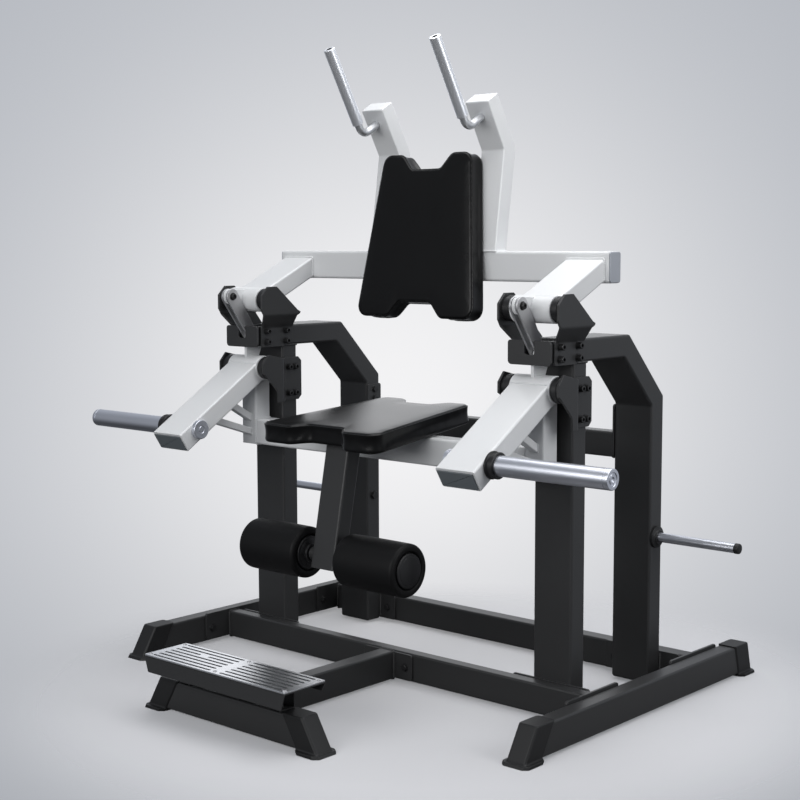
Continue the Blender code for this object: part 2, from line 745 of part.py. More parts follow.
def shell_set(name, outlines, low, high):
    """Separate upright prisms held in one mesh, to be cut all at once."""
    points = []
    faces = []
    for outline in outlines:
        start = len(points)
        count = len(outline)
        for level in (low, high):
            points += [(x, y, level) for x, y in outline]
        faces.append(tuple(range(start + count - 1, start - 1, -1)))
        faces.append(tuple(range(start + count, start + 2 * count)))
        for index in range(count):
            after = (index + 1) % count
            above = start + count
            faces.append((start + index, start + after, above + after, above + index))
    return mesh_object(name, points, faces)


def footplate_tray():
    """The folded sheet under the tread, with skirts and a riser that stands on the step bar."""
    top = FOOTPLATE_BOTTOM - GAP
    half = FOOTPLATE_WIDTH / 2
    front = FOOTPLATE_FRONT
    rear = FOOTPLATE_REAR
    outline = span(-half, half, front, rear, FOOTPLATE_ROUND)
    tray = prism("footplate_tray", outline, top - TRAY_SHEET, top, "Z")
    skirts = []
    for title, start, drop in (("front", front, TRAY_SKIRT), ("rear", rear - TRAY_SHEET, TRAY_REAR_SKIRT)):
        slant = half - TRAY_END_SLANT
        outline = [(-half, top - BITE), (half, top - BITE), (half, top - TRAY_SHEET), (slant, top - drop)]
        outline += [(-slant, top - drop), (-half, top - TRAY_SHEET)]
        skirts.append(prism("tray_skirt_" + title, outline, start, start + TRAY_SHEET, "Y"))
    join(tray, *skirts)
    bottom = BASE_TOP + GAP
    reach = STEP_BAR_TIP - CAP_LENGTH - TRAY_RISER_CLEARANCE
    for title, sense in (("front", -1), ("rear", 1)):
        face = STEP_BAR_Y + sense * (STEP_BAR_DEPTH / 2 - TRAY_SHEET)
        limits = sorted((face, face + sense * TRAY_SHEET))
        riser = prism("tray_riser_" + title, span(-reach, reach, bottom, top - BITE, BITE), *limits, "Y")
        join(tray, riser)
    half = STEP_BAR_DEPTH / 2
    foot = span(STEP_BAR_Y - half, STEP_BAR_Y + half, bottom, bottom + TRAY_SHEET, BITE)
    join(tray, prism("tray_foot", foot, -reach, reach))
    for side, word in SIDES:
        middle = side * reach / 2
        outline = span(middle - TRAY_WINDOW_WIDTH / 2, middle + TRAY_WINDOW_WIDTH / 2,
                       bottom - TRAY_SHEET, bottom + TRAY_WINDOW_HEIGHT, BITE)
        limits = (STEP_BAR_Y - STEP_BAR_DEPTH, STEP_BAR_Y + STEP_BAR_DEPTH)
        cut(tray, prism("tray_window_" + word, outline, *limits, "Y"))
    return paint(tray, "charcoal_paint")


def front_post(side, word):
    """The post in front, with the plate that bolts it to the cross member."""
    name = "front_post_" + word
    centre = side * POST_SPREAD
    outline = span(centre - POST_HALF, centre + POST_HALF, POST_FRONT, POST_REAR)
    post = prism(name, outline, BASE_LIFT, ARCH_UNDERSIDE - GAP, "Z")
    plate = post_plate(name, centre, POST_FRONT - POST_PLATE_THICKNESS, POST_FRONT)
    reach = POST_HALF + POST_BOLT_OVERHANG
    places = [(centre - reach, POST_FRONT, BASE_MIDDLE), (centre + reach, POST_FRONT, BASE_MIDDLE)]
    foot = span(centre - POST_HALF, centre + POST_HALF, POST_PLATE_BOTTOM, POST_PLATE_TOP)
    bite = prism(name + "_weld", foot, POST_FRONT - BITE, POST_FRONT + BITE, "Y")
    join(post, plate, bite, *bolts(name, places, "Y", 1))
    return paint(post, "charcoal_paint")


def post_plate(name, centre, front, rear):
    """The plate across the foot of a post."""
    reach = POST_HALF + POST_PLATE_OVERHANG
    outline = span(centre - reach, centre + reach, POST_PLATE_BOTTOM, POST_PLATE_TOP, PLATE_ROUND)
    return prism(name + "_plate", outline, front, rear, "Y")


def arch(side, word):
    """The beam over the top, the slanted corner and the rear post, with its bolted plate."""
    name = "arch_" + word
    centre = side * POST_SPREAD
    bend = REAR_POST_REAR - ARCH_BEND_INSET
    shift = ARCH_BEAM_HEIGHT * math.tan(math.pi / 8)
    shoulder = ARCH_TOP - ARCH_BEND_DROP
    outline = [
        (POST_FRONT, ARCH_UNDERSIDE),
        (POST_FRONT, ARCH_TOP),
        (bend, ARCH_TOP),
        (REAR_POST_REAR, shoulder),
        (REAR_POST_REAR, BASE_LIFT),
        (REAR_POST_FRONT, BASE_LIFT),
        (REAR_POST_FRONT, shoulder - shift),
        (bend - shift, ARCH_UNDERSIDE),
    ]
    frame = soften(prism(name, outline, centre - POST_HALF, centre + POST_HALF))
    rear = REAR_POST_REAR + REAR_PLATE_THICKNESS
    plate = post_plate(name, centre, REAR_POST_REAR, rear)
    foot = span(centre - POST_HALF + BITE, centre + POST_HALF - BITE, POST_PLATE_BOTTOM, POST_PLATE_TOP)
    weld = prism(name + "_weld", foot, REAR_POST_REAR - BITE, REAR_POST_REAR + BITE, "Y")
    reach = POST_HALF + POST_BOLT_OVERHANG
    places = [(centre - reach, REAR_POST_REAR, BASE_MIDDLE), (centre + reach, REAR_POST_REAR, BASE_MIDDLE)]
    join(frame, plate, weld, *bolts(name, places, "Y", -1))
    peg_y = (REAR_POST_FRONT + REAR_POST_REAR) / 2
    face = (centre - side * POST_HALF, peg_y, PEG_Z)
    join(frame, *bolts(name + "_peg", [face], "X", -side, PEG_BOLT_RADIUS))
    return paint(frame, "charcoal_paint")


def rear_beam():
    """The beam between the rear posts, with a tall bolted plate at each end."""
    outer = POST_SPREAD - POST_HALF - GAP
    inner = outer - REAR_BEAM_PLATE_THICKNESS
    middle = (REAR_POST_FRONT + REAR_POST_REAR) / 2
    top = REAR_BEAM_BOTTOM + REAR_BEAM_HEIGHT
    half = REAR_BEAM_DEPTH / 2
    outline = span(middle - half, middle + half, REAR_BEAM_BOTTOM, top)
    beam = prism("rear_beam", outline, -inner - BITE, inner + BITE)
    plate_top = top + REAR_BEAM_PLATE_RISE
    for side, word in SIDES:
        outline = span(REAR_POST_FRONT, REAR_POST_REAR, REAR_BEAM_BOTTOM, plate_top, PLATE_ROUND)
        limits = sorted((side * inner, side * outer))
        join(beam, prism("rear_beam_plate_" + word, outline, *limits))
        places = []
        for row in range(2):
            level = plate_top - REAR_BEAM_BOLT_DROP - row * REAR_BEAM_BOLT_PITCH
            places.append((side * inner, middle, level))
        join(beam, *bolts("rear_beam_" + word, places, "X", -side))
    return paint(beam, "charcoal_paint")


def yoke(side, word):
    """The bracket on the arch end: a slotted box, two slanted wings and two upright ears."""
    name = "upper_yoke_" + word
    centre = side * POST_SPREAD
    front = POST_FRONT - YOKE_FRONT_REACH
    bottom = ARCH_TOP - YOKE_BOX_HEIGHT
    inner = POST_HALF + GAP
    outer = inner + YOKE_SHEET
    radii = (YOKE_BOX_ROUND, YOKE_BOX_ROUND, BITE, BITE)
    corners = [
        (centre - outer, bottom),
        (centre + outer, bottom),
        (centre + outer, ARCH_TOP),
        (centre - outer, ARCH_TOP),
    ]
    box = prism(name, fillet(corners, radii), front, front + YOKE_SHEET, "Y")
    for turn_side, title in SIDES:
        join(box, *yoke_flank(name + "_" + title, centre, turn_side, front, bottom, inner, outer))
    half = YOKE_SLOT_WIDTH / 2
    slot = span(centre - half, centre + half, ARCH_TOP - YOKE_SLOT_DEPTH, ARCH_TOP + YOKE_SHEET, BITE)
    cut(box, prism(name + "_slot", slot, front - BITE, front + YOKE_SHEET + BITE, "Y"))
    return paint(box, "charcoal_paint")


def yoke_flank(name, centre, sense, front, bottom, inner, outer):
    """One side of a yoke: the flat on the beam, the wing and the ear that carries the axle."""
    rear = POST_FRONT + YOKE_REAR_REACH
    chamfer = YOKE_REAR_CHAMFER
    outline = [
        (front, bottom),
        (rear - chamfer, bottom),
        (rear, bottom + chamfer / 2),
        (rear, ARCH_TOP),
        (front, ARCH_TOP),
    ]
    limits = sorted((centre + sense * inner, centre + sense * outer))
    flat = prism(name + "_flat", outline, *limits)
    fold = ARCH_TOP + YOKE_FOLD_RISE
    wing = [
        (centre + sense * inner, ARCH_TOP - YOKE_SHEET),
        (centre + sense * outer, ARCH_TOP - YOKE_SHEET),
        (centre + sense * EAR_OUTER, fold - EAR_SHEET / 2),
        (centre + sense * EAR_OUTER, fold + EAR_SHEET / 2),
        (centre + sense * EAR_INNER, fold + EAR_SHEET / 2),
        (centre + sense * inner, ARCH_TOP),
    ]
    wing = prism(name + "_wing", wing, front + BITE, rear, "Y")
    tip = PIVOT_Y - YOKE_EAR_FRONT
    crown = UPPER_PIVOT_Z + YOKE_EAR_RISE
    shoulder = PIVOT_Y + YOKE_EAR_SHOULDER
    outline = [
        (tip, crown - YOKE_EAR_CHAMFER),
        (tip + YOKE_EAR_CHAMFER, crown),
        (shoulder, crown),
        (PIVOT_Y + YOKE_EAR_REAR, fold),
        (PIVOT_Y + YOKE_EAR_REAR - YOKE_EAR_LOW_CHAMFER, fold - EAR_SHEET / 2),
        (tip + YOKE_EAR_LOW_CHAMFER, fold - EAR_SHEET / 2),
        (tip, fold + YOKE_EAR_LOW_CHAMFER),
    ]
    limits = sorted((centre + sense * EAR_INNER, centre + sense * EAR_OUTER))
    ear = prism(name + "_ear", outline, *limits)
    places = []
    for row in range(2):
        for column in range(2):
            y = front + YOKE_BOLT_FRONT_INSET + column * YOKE_BOLT_PITCH_Y
            z = ARCH_TOP - (YOKE_BOX_HEIGHT - YOKE_BOLT_PITCH_Z) / 2 - row * YOKE_BOLT_PITCH_Z
            places.append((centre + sense * outer, y, z))
    return [flat, wing, ear, *bolts(name, places, "X", sense)]


def lower_bracket(side, word, sense, title):
    """A bent plate on one flank of a front post, which carries one end of the lower axle."""
    name = "lower_bracket_" + word + "_" + title
    centre = side * POST_SPREAD
    inner = POST_HALF + GAP
    outer = inner + EAR_SHEET
    front = PIVOT_Y - LOWER_FRONT_REACH
    bottom = LOWER_PIVOT_Z - LOWER_BOTTOM_DROP
    top = LOWER_PIVOT_Z + LOWER_TOP_RISE
    fold = PIVOT_Y + LOWER_FOLD_Y
    rear_top = LOWER_PIVOT_Z + LOWER_REAR_TOP_RISE
    panel = [
        (front, LOWER_PIVOT_Z - LOWER_FRONT_DROP),
        (front, top - LOWER_FRONT_CHAMFER_Z),
        (front + LOWER_FRONT_CHAMFER_Y, top),
        (fold, rear_top),
        (fold, bottom),
        (PIVOT_Y + LOWER_WAIST_Y, bottom),
        (PIVOT_Y + LOWER_WAIST_Y, LOWER_PIVOT_Z - LOWER_WAIST_DROP),
        (PIVOT_Y - LOWER_NOSE_Y, LOWER_PIVOT_Z - LOWER_NOSE_DROP),
    ]
    limits = sorted((centre + sense * EAR_INNER, centre + sense * EAR_OUTER))
    plate = prism(name, panel, *limits)
    wall = [
        (centre + sense * EAR_INNER, fold - BITE),
        (centre + sense * EAR_OUTER, fold - BITE),
        (centre + sense * outer, POST_FRONT + EAR_SHEET),
        (centre + sense * inner, POST_FRONT + EAR_SHEET),
        (centre + sense * inner, POST_FRONT - BITE),
    ]
    web = prism(name + "_web", wall, bottom, rear_top, "Z")
    rear = POST_REAR + LOWER_REAR_OVERHANG
    chamfer = LOWER_REAR_CHAMFER
    outline = [
        (POST_FRONT, bottom),
        (rear - chamfer, bottom),
        (rear, bottom + chamfer),
        (rear, rear_top - chamfer),
        (rear - chamfer, rear_top),
        (POST_FRONT, rear_top),
    ]
    limits = sorted((centre + sense * inner, centre + sense * outer))
    flat = prism(name + "_flat", outline, *limits)
    places = []
    for row in range(2):
        for column in range(2):
            y = POST_FRONT + LOWER_BOLT_FRONT + column * LOWER_BOLT_PITCH_Y
            z = LOWER_PIVOT_Z - LOWER_BOLT_TOP_DROP - row * LOWER_BOLT_PITCH_Z
            places.append((centre + sense * outer, y, z))
    join(plate, web, flat, *bolts(name, places, "X", sense))
    return paint(plate, "charcoal_paint")


def axle(name, side, level):
    """A fixed axle through a sleeve, with a stepped boss at each end against the plates."""
    end = EAR_INNER - GAP
    face = SLEEVE_HALF + GAP
    half = [
        (end, BOSS_RADIUS - BOSS_STEP),
        (end - BOSS_RIM, BOSS_RADIUS - BOSS_STEP),
        (end - BOSS_RIM - BITE, BOSS_RADIUS),
        (face, BOSS_RADIUS),
        (face - BITE / 10, AXLE_RADIUS),
    ]
    profile = [(-distance, radius) for distance, radius in half] + half[::-1]
    return paint(turned(name, profile, (side * POST_SPREAD, PIVOT_Y, level)), "rubber")


def storage_peg(side, word):
    """A bare peg for spare plates, with a small cap at its end, and the collar at its root."""
    root = POST_SPREAD + POST_HALF + GAP
    middle = (REAR_POST_FRONT + REAR_POST_REAR) / 2
    start = (side * root, middle, PEG_Z)
    body = PEG_REACH - PEG_CAP_LENGTH
    cap = PEG_RADIUS + PEG_CAP_GROWTH
    profile = [
        (0, PEG_RADIUS),
        (body, PEG_RADIUS),
        (body + BITE / 10, cap),
        (PEG_REACH - BITE, cap),
        (PEG_REACH, cap - BITE),
    ]
    paint(turned("storage_peg_" + word, profile, start, "X", side), "chrome")
    hole = PEG_RADIUS + GAP
    profile = [
        (0, hole),
        (0, PEG_COLLAR_RADIUS - BITE),
        (BITE, PEG_COLLAR_RADIUS),
        (PEG_COLLAR_LENGTH - 2 * BITE, PEG_COLLAR_RADIUS),
        (PEG_COLLAR_LENGTH, PEG_COLLAR_RADIUS - 2 * BITE),
        (PEG_COLLAR_LENGTH, hole),
    ]
    paint(turned("storage_collar_" + word, profile, start, "X", side, closed=True), "rubber")


def upper_arm(side, word):
    """The sleeve on the upper axle, the tube back to the cross beam and the ear for the link."""
    name = "upper_arm_" + word
    centre = side * POST_SPREAD
    along = (0, math.cos(UPPER_ARM_PITCH), math.sin(UPPER_ARM_PITCH))
    up = (0, -math.sin(UPPER_ARM_PITCH), math.cos(UPPER_ARM_PITCH))
    outline = rectangle(POST_WIDTH, UPPER_ARM_DEPTH, TUBE_ROUND, (0.0, -UPPER_ARM_DROP))
    length = (UPPER_BEAM_FORWARD - GAP) / math.cos(UPPER_ARM_PITCH)
    start = (centre, PIVOT_Y, UPPER_PIVOT_Z)
    arm = bar(name, outline, start, along, up, length, 0.0, math.tan(UPPER_ARM_PITCH))
    sleeve = sleeve_of(name, start)
    root = circle((PIVOT_Y, UPPER_PIVOT_Z), EAR_ROOT_RADIUS)
    outline = hull(np.concatenate([root, circle(LINK_TOP, LINK_TOP_RADIUS)]))
    ear = prism(name + "_ear", outline, centre - EAR_THICKNESS / 2, centre + EAR_THICKNESS / 2)
    join(arm, sleeve, ear)
    cut(arm, bore_of(name + "_bore", start, AXLE_RADIUS + GAP, POST_WIDTH))
    cut(arm, bore_of(name + "_eye", (centre, *LINK_TOP), LINK_PIN_RADIUS + GAP, EAR_THICKNESS))
    return paint(arm, "white_paint")


def sleeve_of(name, place):
    """The round sleeve that turns on an axle."""
    profile = [
        (-SLEEVE_HALF, SLEEVE_RADIUS - BITE),
        (BITE - SLEEVE_HALF, SLEEVE_RADIUS),
        (SLEEVE_HALF - BITE, SLEEVE_RADIUS),
        (SLEEVE_HALF, SLEEVE_RADIUS - BITE),
    ]
    return turned(name + "_sleeve", profile, place)


def bore_of(name, place, radius, reach):
    """A round cutter along X, long enough to pass through."""
    return turned(name, [(-reach, radius), (reach, radius)], place)


def upper_cross_beam():
    """The beam across the back of both upper arms, with a cap at each end."""
    half = UPPER_BEAM_HEIGHT / 2
    outline = span(UPPER_BEAM_FRONT, UPPER_BEAM_REAR, UPPER_BEAM_MIDDLE_Z - half, UPPER_BEAM_TOP)
    beam = paint(prism("upper_cross_beam", outline, -UPPER_BEAM_HALF, UPPER_BEAM_HALF), "white_paint")
    inset = END_CAP_INSET
    outline = span(UPPER_BEAM_FRONT + inset, UPPER_BEAM_REAR - inset,
                   UPPER_BEAM_MIDDLE_Z - half + inset, UPPER_BEAM_TOP - inset)
    caps = []
    for side, word in SIDES:
        start = UPPER_BEAM_HALF + GAP
        limits = sorted((side * start, side * (start + END_CAP_THICKNESS)))
        cap = soften(prism("beam_cap_" + word, outline, *limits), BITE)
        caps.append(paint(cap, "grey_plastic"))
    return [beam, *caps]


def upright_line():
    """Front corners of an upright in (y, z): foot, bend and top."""
    foot = np.array((UPPER_BEAM_FRONT, UPPER_BEAM_TOP + GAP))
    bend = foot + UPRIGHT_LENGTH * np.array((math.sin(UPRIGHT_LEAN), math.cos(UPRIGHT_LEAN)))
    head = np.array((-math.sin(UPRIGHT_HEAD_LEAN), math.cos(UPRIGHT_HEAD_LEAN)))
    return foot, bend, bend + UPRIGHT_HEAD_LENGTH * head


def upright(side, word):
    """A bent post that carries the back pad and a handle."""
    foot, bend, top = upright_line()
    mitre = (UPRIGHT_LEAN + UPRIGHT_HEAD_LEAN) / 2
    way = (UPRIGHT_LEAN - UPRIGHT_HEAD_LEAN) / 2
    reach = UPRIGHT_DEPTH / math.cos(mitre)
    rear_bend = bend + reach * np.array((math.cos(way), -math.sin(way)))
    rear_top = top + UPRIGHT_DEPTH * np.array((math.cos(UPRIGHT_HEAD_LEAN), math.sin(UPRIGHT_HEAD_LEAN)))
    rear_foot = foot + np.array((UPRIGHT_DEPTH / math.cos(UPRIGHT_LEAN), 0.0))
    outline = [foot, bend, top, rear_top, rear_bend, rear_foot]
    centre = side * UPRIGHT_SPREAD
    limits = (centre - UPRIGHT_WIDTH / 2, centre + UPRIGHT_WIDTH / 2)
    return paint(soften(prism("upright_" + word, outline, *limits)), "white_paint")


def handle_axis():
    """Where a handle leaves its upright, where its corner is, and its two directions."""
    foot, bend, top = upright_line()
    lean = UPRIGHT_HEAD_LEAN
    root = bend + HANDLE_FOOT * np.array((-math.sin(lean), math.cos(lean)))
    outward = np.array((-math.cos(lean), -math.sin(lean)))
    upward = np.array((-math.sin(lean), math.cos(lean)))
    return root + GAP * outward, root + HANDLE_STANDOFF * outward, outward, upward


def handle(side, word):
    """A bent rod out of the upright, and the grip that turns on it."""
    root, corner, outward, upward = handle_axis()
    end = GRIP_START + GRIP_LENGTH - GRIP_WALL - 2 * BITE
    path = [root]
    centre = corner - HANDLE_BEND * outward + HANDLE_BEND * upward
    for step in range(HANDLE_BEND_STEPS + 1):
        angle = step / HANDLE_BEND_STEPS * math.pi / 2
        path.append(centre - HANDLE_BEND * math.cos(angle) * upward + HANDLE_BEND * math.sin(angle) * outward)
    path.append(corner + end * upward)
    line = [(side * UPRIGHT_SPREAD, y, z) for y, z in path]
    rod = paint(swept("handle_rod_" + word, line, HANDLE_RADIUS), "chrome")
    return rod, grip(side, word, corner, upward)


def grip(side, word, corner, upward):
    """A hollow grip with a small eye in its closed end."""
    bore = HANDLE_RADIUS + GAP
    top = GRIP_START + GRIP_LENGTH
    profile = [
        (GRIP_START, bore),
        (GRIP_START, GRIP_RADIUS - GRIP_ROUND),
        (GRIP_START + GRIP_ROUND, GRIP_RADIUS),
        (top - GRIP_ROUND, GRIP_RADIUS),
        (top, GRIP_RADIUS - GRIP_ROUND),
        (top, GRIP_EYE_RADIUS),
        (top - GRIP_WALL, GRIP_EYE_RADIUS),
        (top - GRIP_WALL, bore),
    ]
    ring = circle((0.0, 0.0), 1.0, ROUND_STEPS)
    normal = np.array((upward[1], -upward[0]))
    rings = []
    for distance, radius in profile:
        base = corner + distance * upward
        points = [(side * UPRIGHT_SPREAD + radius * u, *(base + radius * v * normal)) for u, v in ring]
        rings.append(np.array(points))
    item = loft("handle_grip_" + word, rings, closed=True)
    return paint(item, "chrome")


def link(side, word):
    """Two plates and their two pins, which carry the upper frame's motion to the crank."""
    name = "link_" + word
    centre = side * POST_SPREAD
    outline = hull(np.concatenate([circle(LINK_TOP, LINK_TOP_RADIUS), circle(LINK_FOOT, LINK_FOOT_RADIUS)]))
    limits = sorted((centre + side * LINK_INNER, centre + side * LINK_OUTER))
    plate = prism(name, outline, *limits)
    limits = sorted((centre - side * LINK_INNER, centre - side * LINK_OUTER))
    twin = prism(name + "_twin", outline, *limits)
    reach = LINK_OUTER + LINK_HEAD_HEIGHT
    half = [
        (reach, LINK_HEAD_RADIUS - BITE),
        (reach - BITE, LINK_HEAD_RADIUS),
        (LINK_OUTER, LINK_HEAD_RADIUS),
        (LINK_OUTER - BITE, LINK_PIN_RADIUS),
    ]
    profile = [(-distance, radius) for distance, radius in half] + half[::-1]
    top_pin = turned(name + "_top_pin", profile, (centre, *LINK_TOP), steps=PIN_STEPS)
    flush = LINK_OUTER - BITE / 2
    foot_pin = turned(name + "_foot_pin", [(-flush, LINK_PIN_RADIUS), (flush, LINK_PIN_RADIUS)],
                      (centre, *LINK_FOOT), steps=PIN_STEPS)
    join(plate, twin, top_pin, foot_pin)
    return paint(plate, "steel")


def arm_point(distance, height):
    """A point in (y, z) given along a weight arm and square to it."""
    y = PIVOT_Y + ARM_ALONG[0] * distance + ARM_UP[0] * height
    z = LOWER_PIVOT_Z + ARM_ALONG[1] * distance + ARM_UP[1] * height
    return y, z


def weight_arm(side, word):
    """The sleeve on the lower axle, the sloping tube, the crank above it and the hanger below."""
    name = "weight_arm_" + word
    centre = side * POST_SPREAD
    start = (centre, PIVOT_Y, LOWER_PIVOT_Z)
    length = ARM_LENGTH - END_CAP_THICKNESS - GAP
    outline = rectangle(POST_WIDTH, ARM_DEPTH)
    arm = bar(name, outline, start, (0, *ARM_ALONG), (0, *ARM_UP), length)
    sleeve = sleeve_of(name, start)
    points = [
        (PIVOT_Y - CRANK_FRONT, LOWER_PIVOT_Z + CRANK_FOOT_RISE),
        (PIVOT_Y - CRANK_FRONT, LOWER_PIVOT_Z + CRANK_SHOULDER_RISE),
        (PIVOT_Y + CRANK_REAR, LOWER_PIVOT_Z + CRANK_SHOULDER_RISE),
        (PIVOT_Y + CRANK_REAR / 2, LOWER_PIVOT_Z + CRANK_FOOT_RISE),
    ]
    points = np.concatenate([points, circle(LINK_FOOT, CRANK_HEAD_RADIUS)])
    crank = prism(name + "_crank", hull(points), centre - CRANK_THICKNESS / 2, centre + CRANK_THICKNESS / 2)
    half = HANGER_WIDTH / 2
    outline = span(centre - half, centre + half, HANGER_FRONT, HANGER_REAR)
    hanger = prism(name + "_hanger", outline, SEAT_BEAM_BOTTOM, LOWER_PIVOT_Z - SLEEVE_RADIUS / 2, "Z")
    join(arm, sleeve, crank, hanger, *braces(name, centre))
    cut(arm, bore_of(name + "_bore", start, AXLE_RADIUS + GAP, POST_WIDTH))
    cut(arm, bore_of(name + "_eye", (centre, *LINK_FOOT), LINK_PIN_RADIUS + LINK_PIN_PLAY, CRANK_THICKNESS))
    cut(arm, bore_of(name + "_horn_hole", (centre, HORN_Y, HORN_Z), HORN_RADIUS + GAP, POST_WIDTH))
    return paint(arm, "white_paint")


def braces(name, centre):
    """Two short bars from the underside of the arm down to the hanger."""
    found = []
    for drop, reach, pitch in zip(BRACE_DROPS, BRACE_REACHES, BRACE_PITCHES):
        along = (0, -math.cos(pitch), math.sin(pitch))
        up = (0, math.sin(pitch), math.cos(pitch))
        start = (centre, HANGER_FRONT + BITE * 2, LOWER_PIVOT_Z - drop)
        outline = rectangle(BRACE_WIDTH, BRACE_THICKNESS, BITE * 2)
        length = (reach + ARM_DEPTH / 4) / math.cos(pitch)
        found.append(bar(name + "_brace_" + str(len(found)), outline, start, along, up, length))
    return found


def arm_cap(side, word):
    """The flat plastic cap on the front end of a weight arm."""
    inset = 2 * END_CAP_INSET
    outline = rectangle(POST_WIDTH - inset, ARM_DEPTH - inset)
    start = (side * POST_SPREAD, *arm_point(ARM_LENGTH - END_CAP_THICKNESS, 0.0))
    cap = bar("arm_cap_" + word, outline, start, (0, *ARM_ALONG), (0, *ARM_UP), END_CAP_THICKNESS)
    return paint(soften(cap, BITE), "slate_plastic")


def horn(side, word):
    """The round bar that carries the plates, through the arm, with a flange on the inner face."""
    start = (side * POST_SPREAD, HORN_Y, HORN_Z)
    face = POST_HALF + GAP
    end = POST_HALF + HORN_REACH
    groove = end - HORN_GROOVE_INSET
    profile = [
        (-face - HORN_FLANGE_LENGTH, HORN_FLANGE_RADIUS - HORN_CHAMFER),
        (HORN_CHAMFER - face - HORN_FLANGE_LENGTH, HORN_FLANGE_RADIUS),
        (-face, HORN_FLANGE_RADIUS),
        (-face, HORN_RADIUS),
        (groove - HORN_GROOVE_WIDTH, HORN_RADIUS),
        (groove - HORN_GROOVE_WIDTH, HORN_RADIUS - HORN_GROOVE_DEPTH),
        (groove, HORN_RADIUS - HORN_GROOVE_DEPTH),
        (groove, HORN_RADIUS),
        (end - HORN_CHAMFER, HORN_RADIUS),
        (end, HORN_RADIUS - HORN_CHAMFER),
        (end, HORN_DISH_RADIUS),
        (end - HORN_DISH_DEPTH, HORN_DISH_RADIUS - HORN_DISH_DEPTH),
    ]
    bar_item = paint(turned("weight_horn_" + word, profile, start, "X", side), "chrome")
    hole = HORN_RADIUS + GAP
    length = COLLAR_LENGTH
    profile = [
        (0, hole),
        (0, COLLAR_RADIUS - BITE),
        (BITE, COLLAR_RADIUS),
        (COLLAR_LIP, COLLAR_RADIUS),
        (COLLAR_LIP + BITE, COLLAR_RADIUS - COLLAR_WAIST),
        (length - COLLAR_LIP - BITE, COLLAR_RADIUS - COLLAR_WAIST),
        (length - COLLAR_LIP, COLLAR_RADIUS - BITE),
        (length - BITE, COLLAR_RADIUS - BITE),
        (length, COLLAR_RADIUS - 2 * BITE),
        (length, hole),
    ]
    start = (side * (POST_SPREAD + face), HORN_Y, HORN_Z)
    collar = turned("horn_collar_" + word, profile, start, "X", side, closed=True)
    return bar_item, paint(collar, "rubber")


def seat_plane(y, below=0.0):
    """Height of a plane parallel to the seat's underside and some way below it."""
    base = SEAT_BEAM_TOP + 2 * BITE + GAP
    return base + (y - HANGER_FRONT) * math.tan(SEAT_TILT) - below / math.cos(SEAT_TILT)


def post_corner():
    """Top front corner of the roller post, just under the seat, as (y, z)."""
    front = HANGER_FRONT - ROLLER_POST_FORWARD
    return np.array((front, seat_plane(front, GAP)))


def behind_post(below):
    """Where a line just behind the roller post crosses a plane that lies some way below the seat."""
    back = np.array((math.cos(ROLLER_POST_LEAN), -math.sin(ROLLER_POST_LEAN)))
    y, z = post_corner() + back * (ROLLER_POST_DEPTH + GAP)
    slope = math.tan(ROLLER_POST_LEAN)
    meet = (y + (seat_plane(y, below) - z) * slope - y * slope * math.tan(SEAT_TILT))
    meet /= 1 - slope * math.tan(SEAT_TILT)
    return (meet, seat_plane(meet, below))


def seat_frame():
    """The beam between the hangers and the spine under the seat."""
    outline = span(HANGER_FRONT, HANGER_REAR, SEAT_BEAM_BOTTOM, SEAT_BEAM_TOP)
    beam = prism("seat_frame", outline, -SEAT_BEAM_HALF, SEAT_BEAM_HALF)
    rear = HANGER_REAR + SPINE_REAR_REACH
    inside = (HANGER_FRONT + HANGER_REAR) / 2
    outline = [
        behind_post(GAP),
        (rear, seat_plane(rear, GAP)),
        (rear, seat_plane(rear, SPINE_REAR_DEPTH)),
        (HANGER_REAR, seat_plane(HANGER_REAR, SPINE_DEPTH)),
        (inside, seat_plane(inside, SPINE_DEPTH)),
        behind_post(SPINE_DEPTH),
    ]
    half = ROLLER_POST_WIDTH / 2
    join(beam, prism("seat_spine", outline, -half, half))
    return paint(beam, "white_paint")


def roller_post():
    """The leaning post under the seat with the axle of the rollers through it."""
    along = np.array((-math.sin(ROLLER_POST_LEAN), -math.cos(ROLLER_POST_LEAN)))
    back = np.array((math.cos(ROLLER_POST_LEAN), -math.sin(ROLLER_POST_LEAN)))
    level = np.array((math.cos(SEAT_TILT), math.sin(SEAT_TILT)))
    lean = -np.cross(back, level) / np.cross(along, level)
    half = ROLLER_POST_DEPTH / 2
    start = post_corner() + back * half + along * lean * half
    outline = rectangle(ROLLER_POST_WIDTH, ROLLER_POST_DEPTH)
    post = bar("roller_post", outline, (0, *start), (0, *along), (0, *back), ROLLER_POST_LENGTH, lean, 0.0)
    axis = start + along * (ROLLER_POST_LENGTH - ROLLER_AXLE_RISE)
    shoulder = ROLLER_POST_WIDTH / 2 + ROLLER_SHOULDER_LENGTH
    end = ROLLER_START + ROLLER_LENGTH - ROLLER_BORE_WALL - ROLLER_AXLE_CLEARANCE
    half = [
        (end, ROLLER_AXLE_RADIUS - BITE),
        (end - BITE, ROLLER_AXLE_RADIUS),
        (shoulder, ROLLER_AXLE_RADIUS),
        (shoulder, ROLLER_SHOULDER_RADIUS),
    ]
    profile = [(-distance, radius) for distance, radius in half] + half[::-1]
    join(post, turned("roller_axle", profile, (0, *axis)))
    return paint(post, "charcoal_paint"), axis


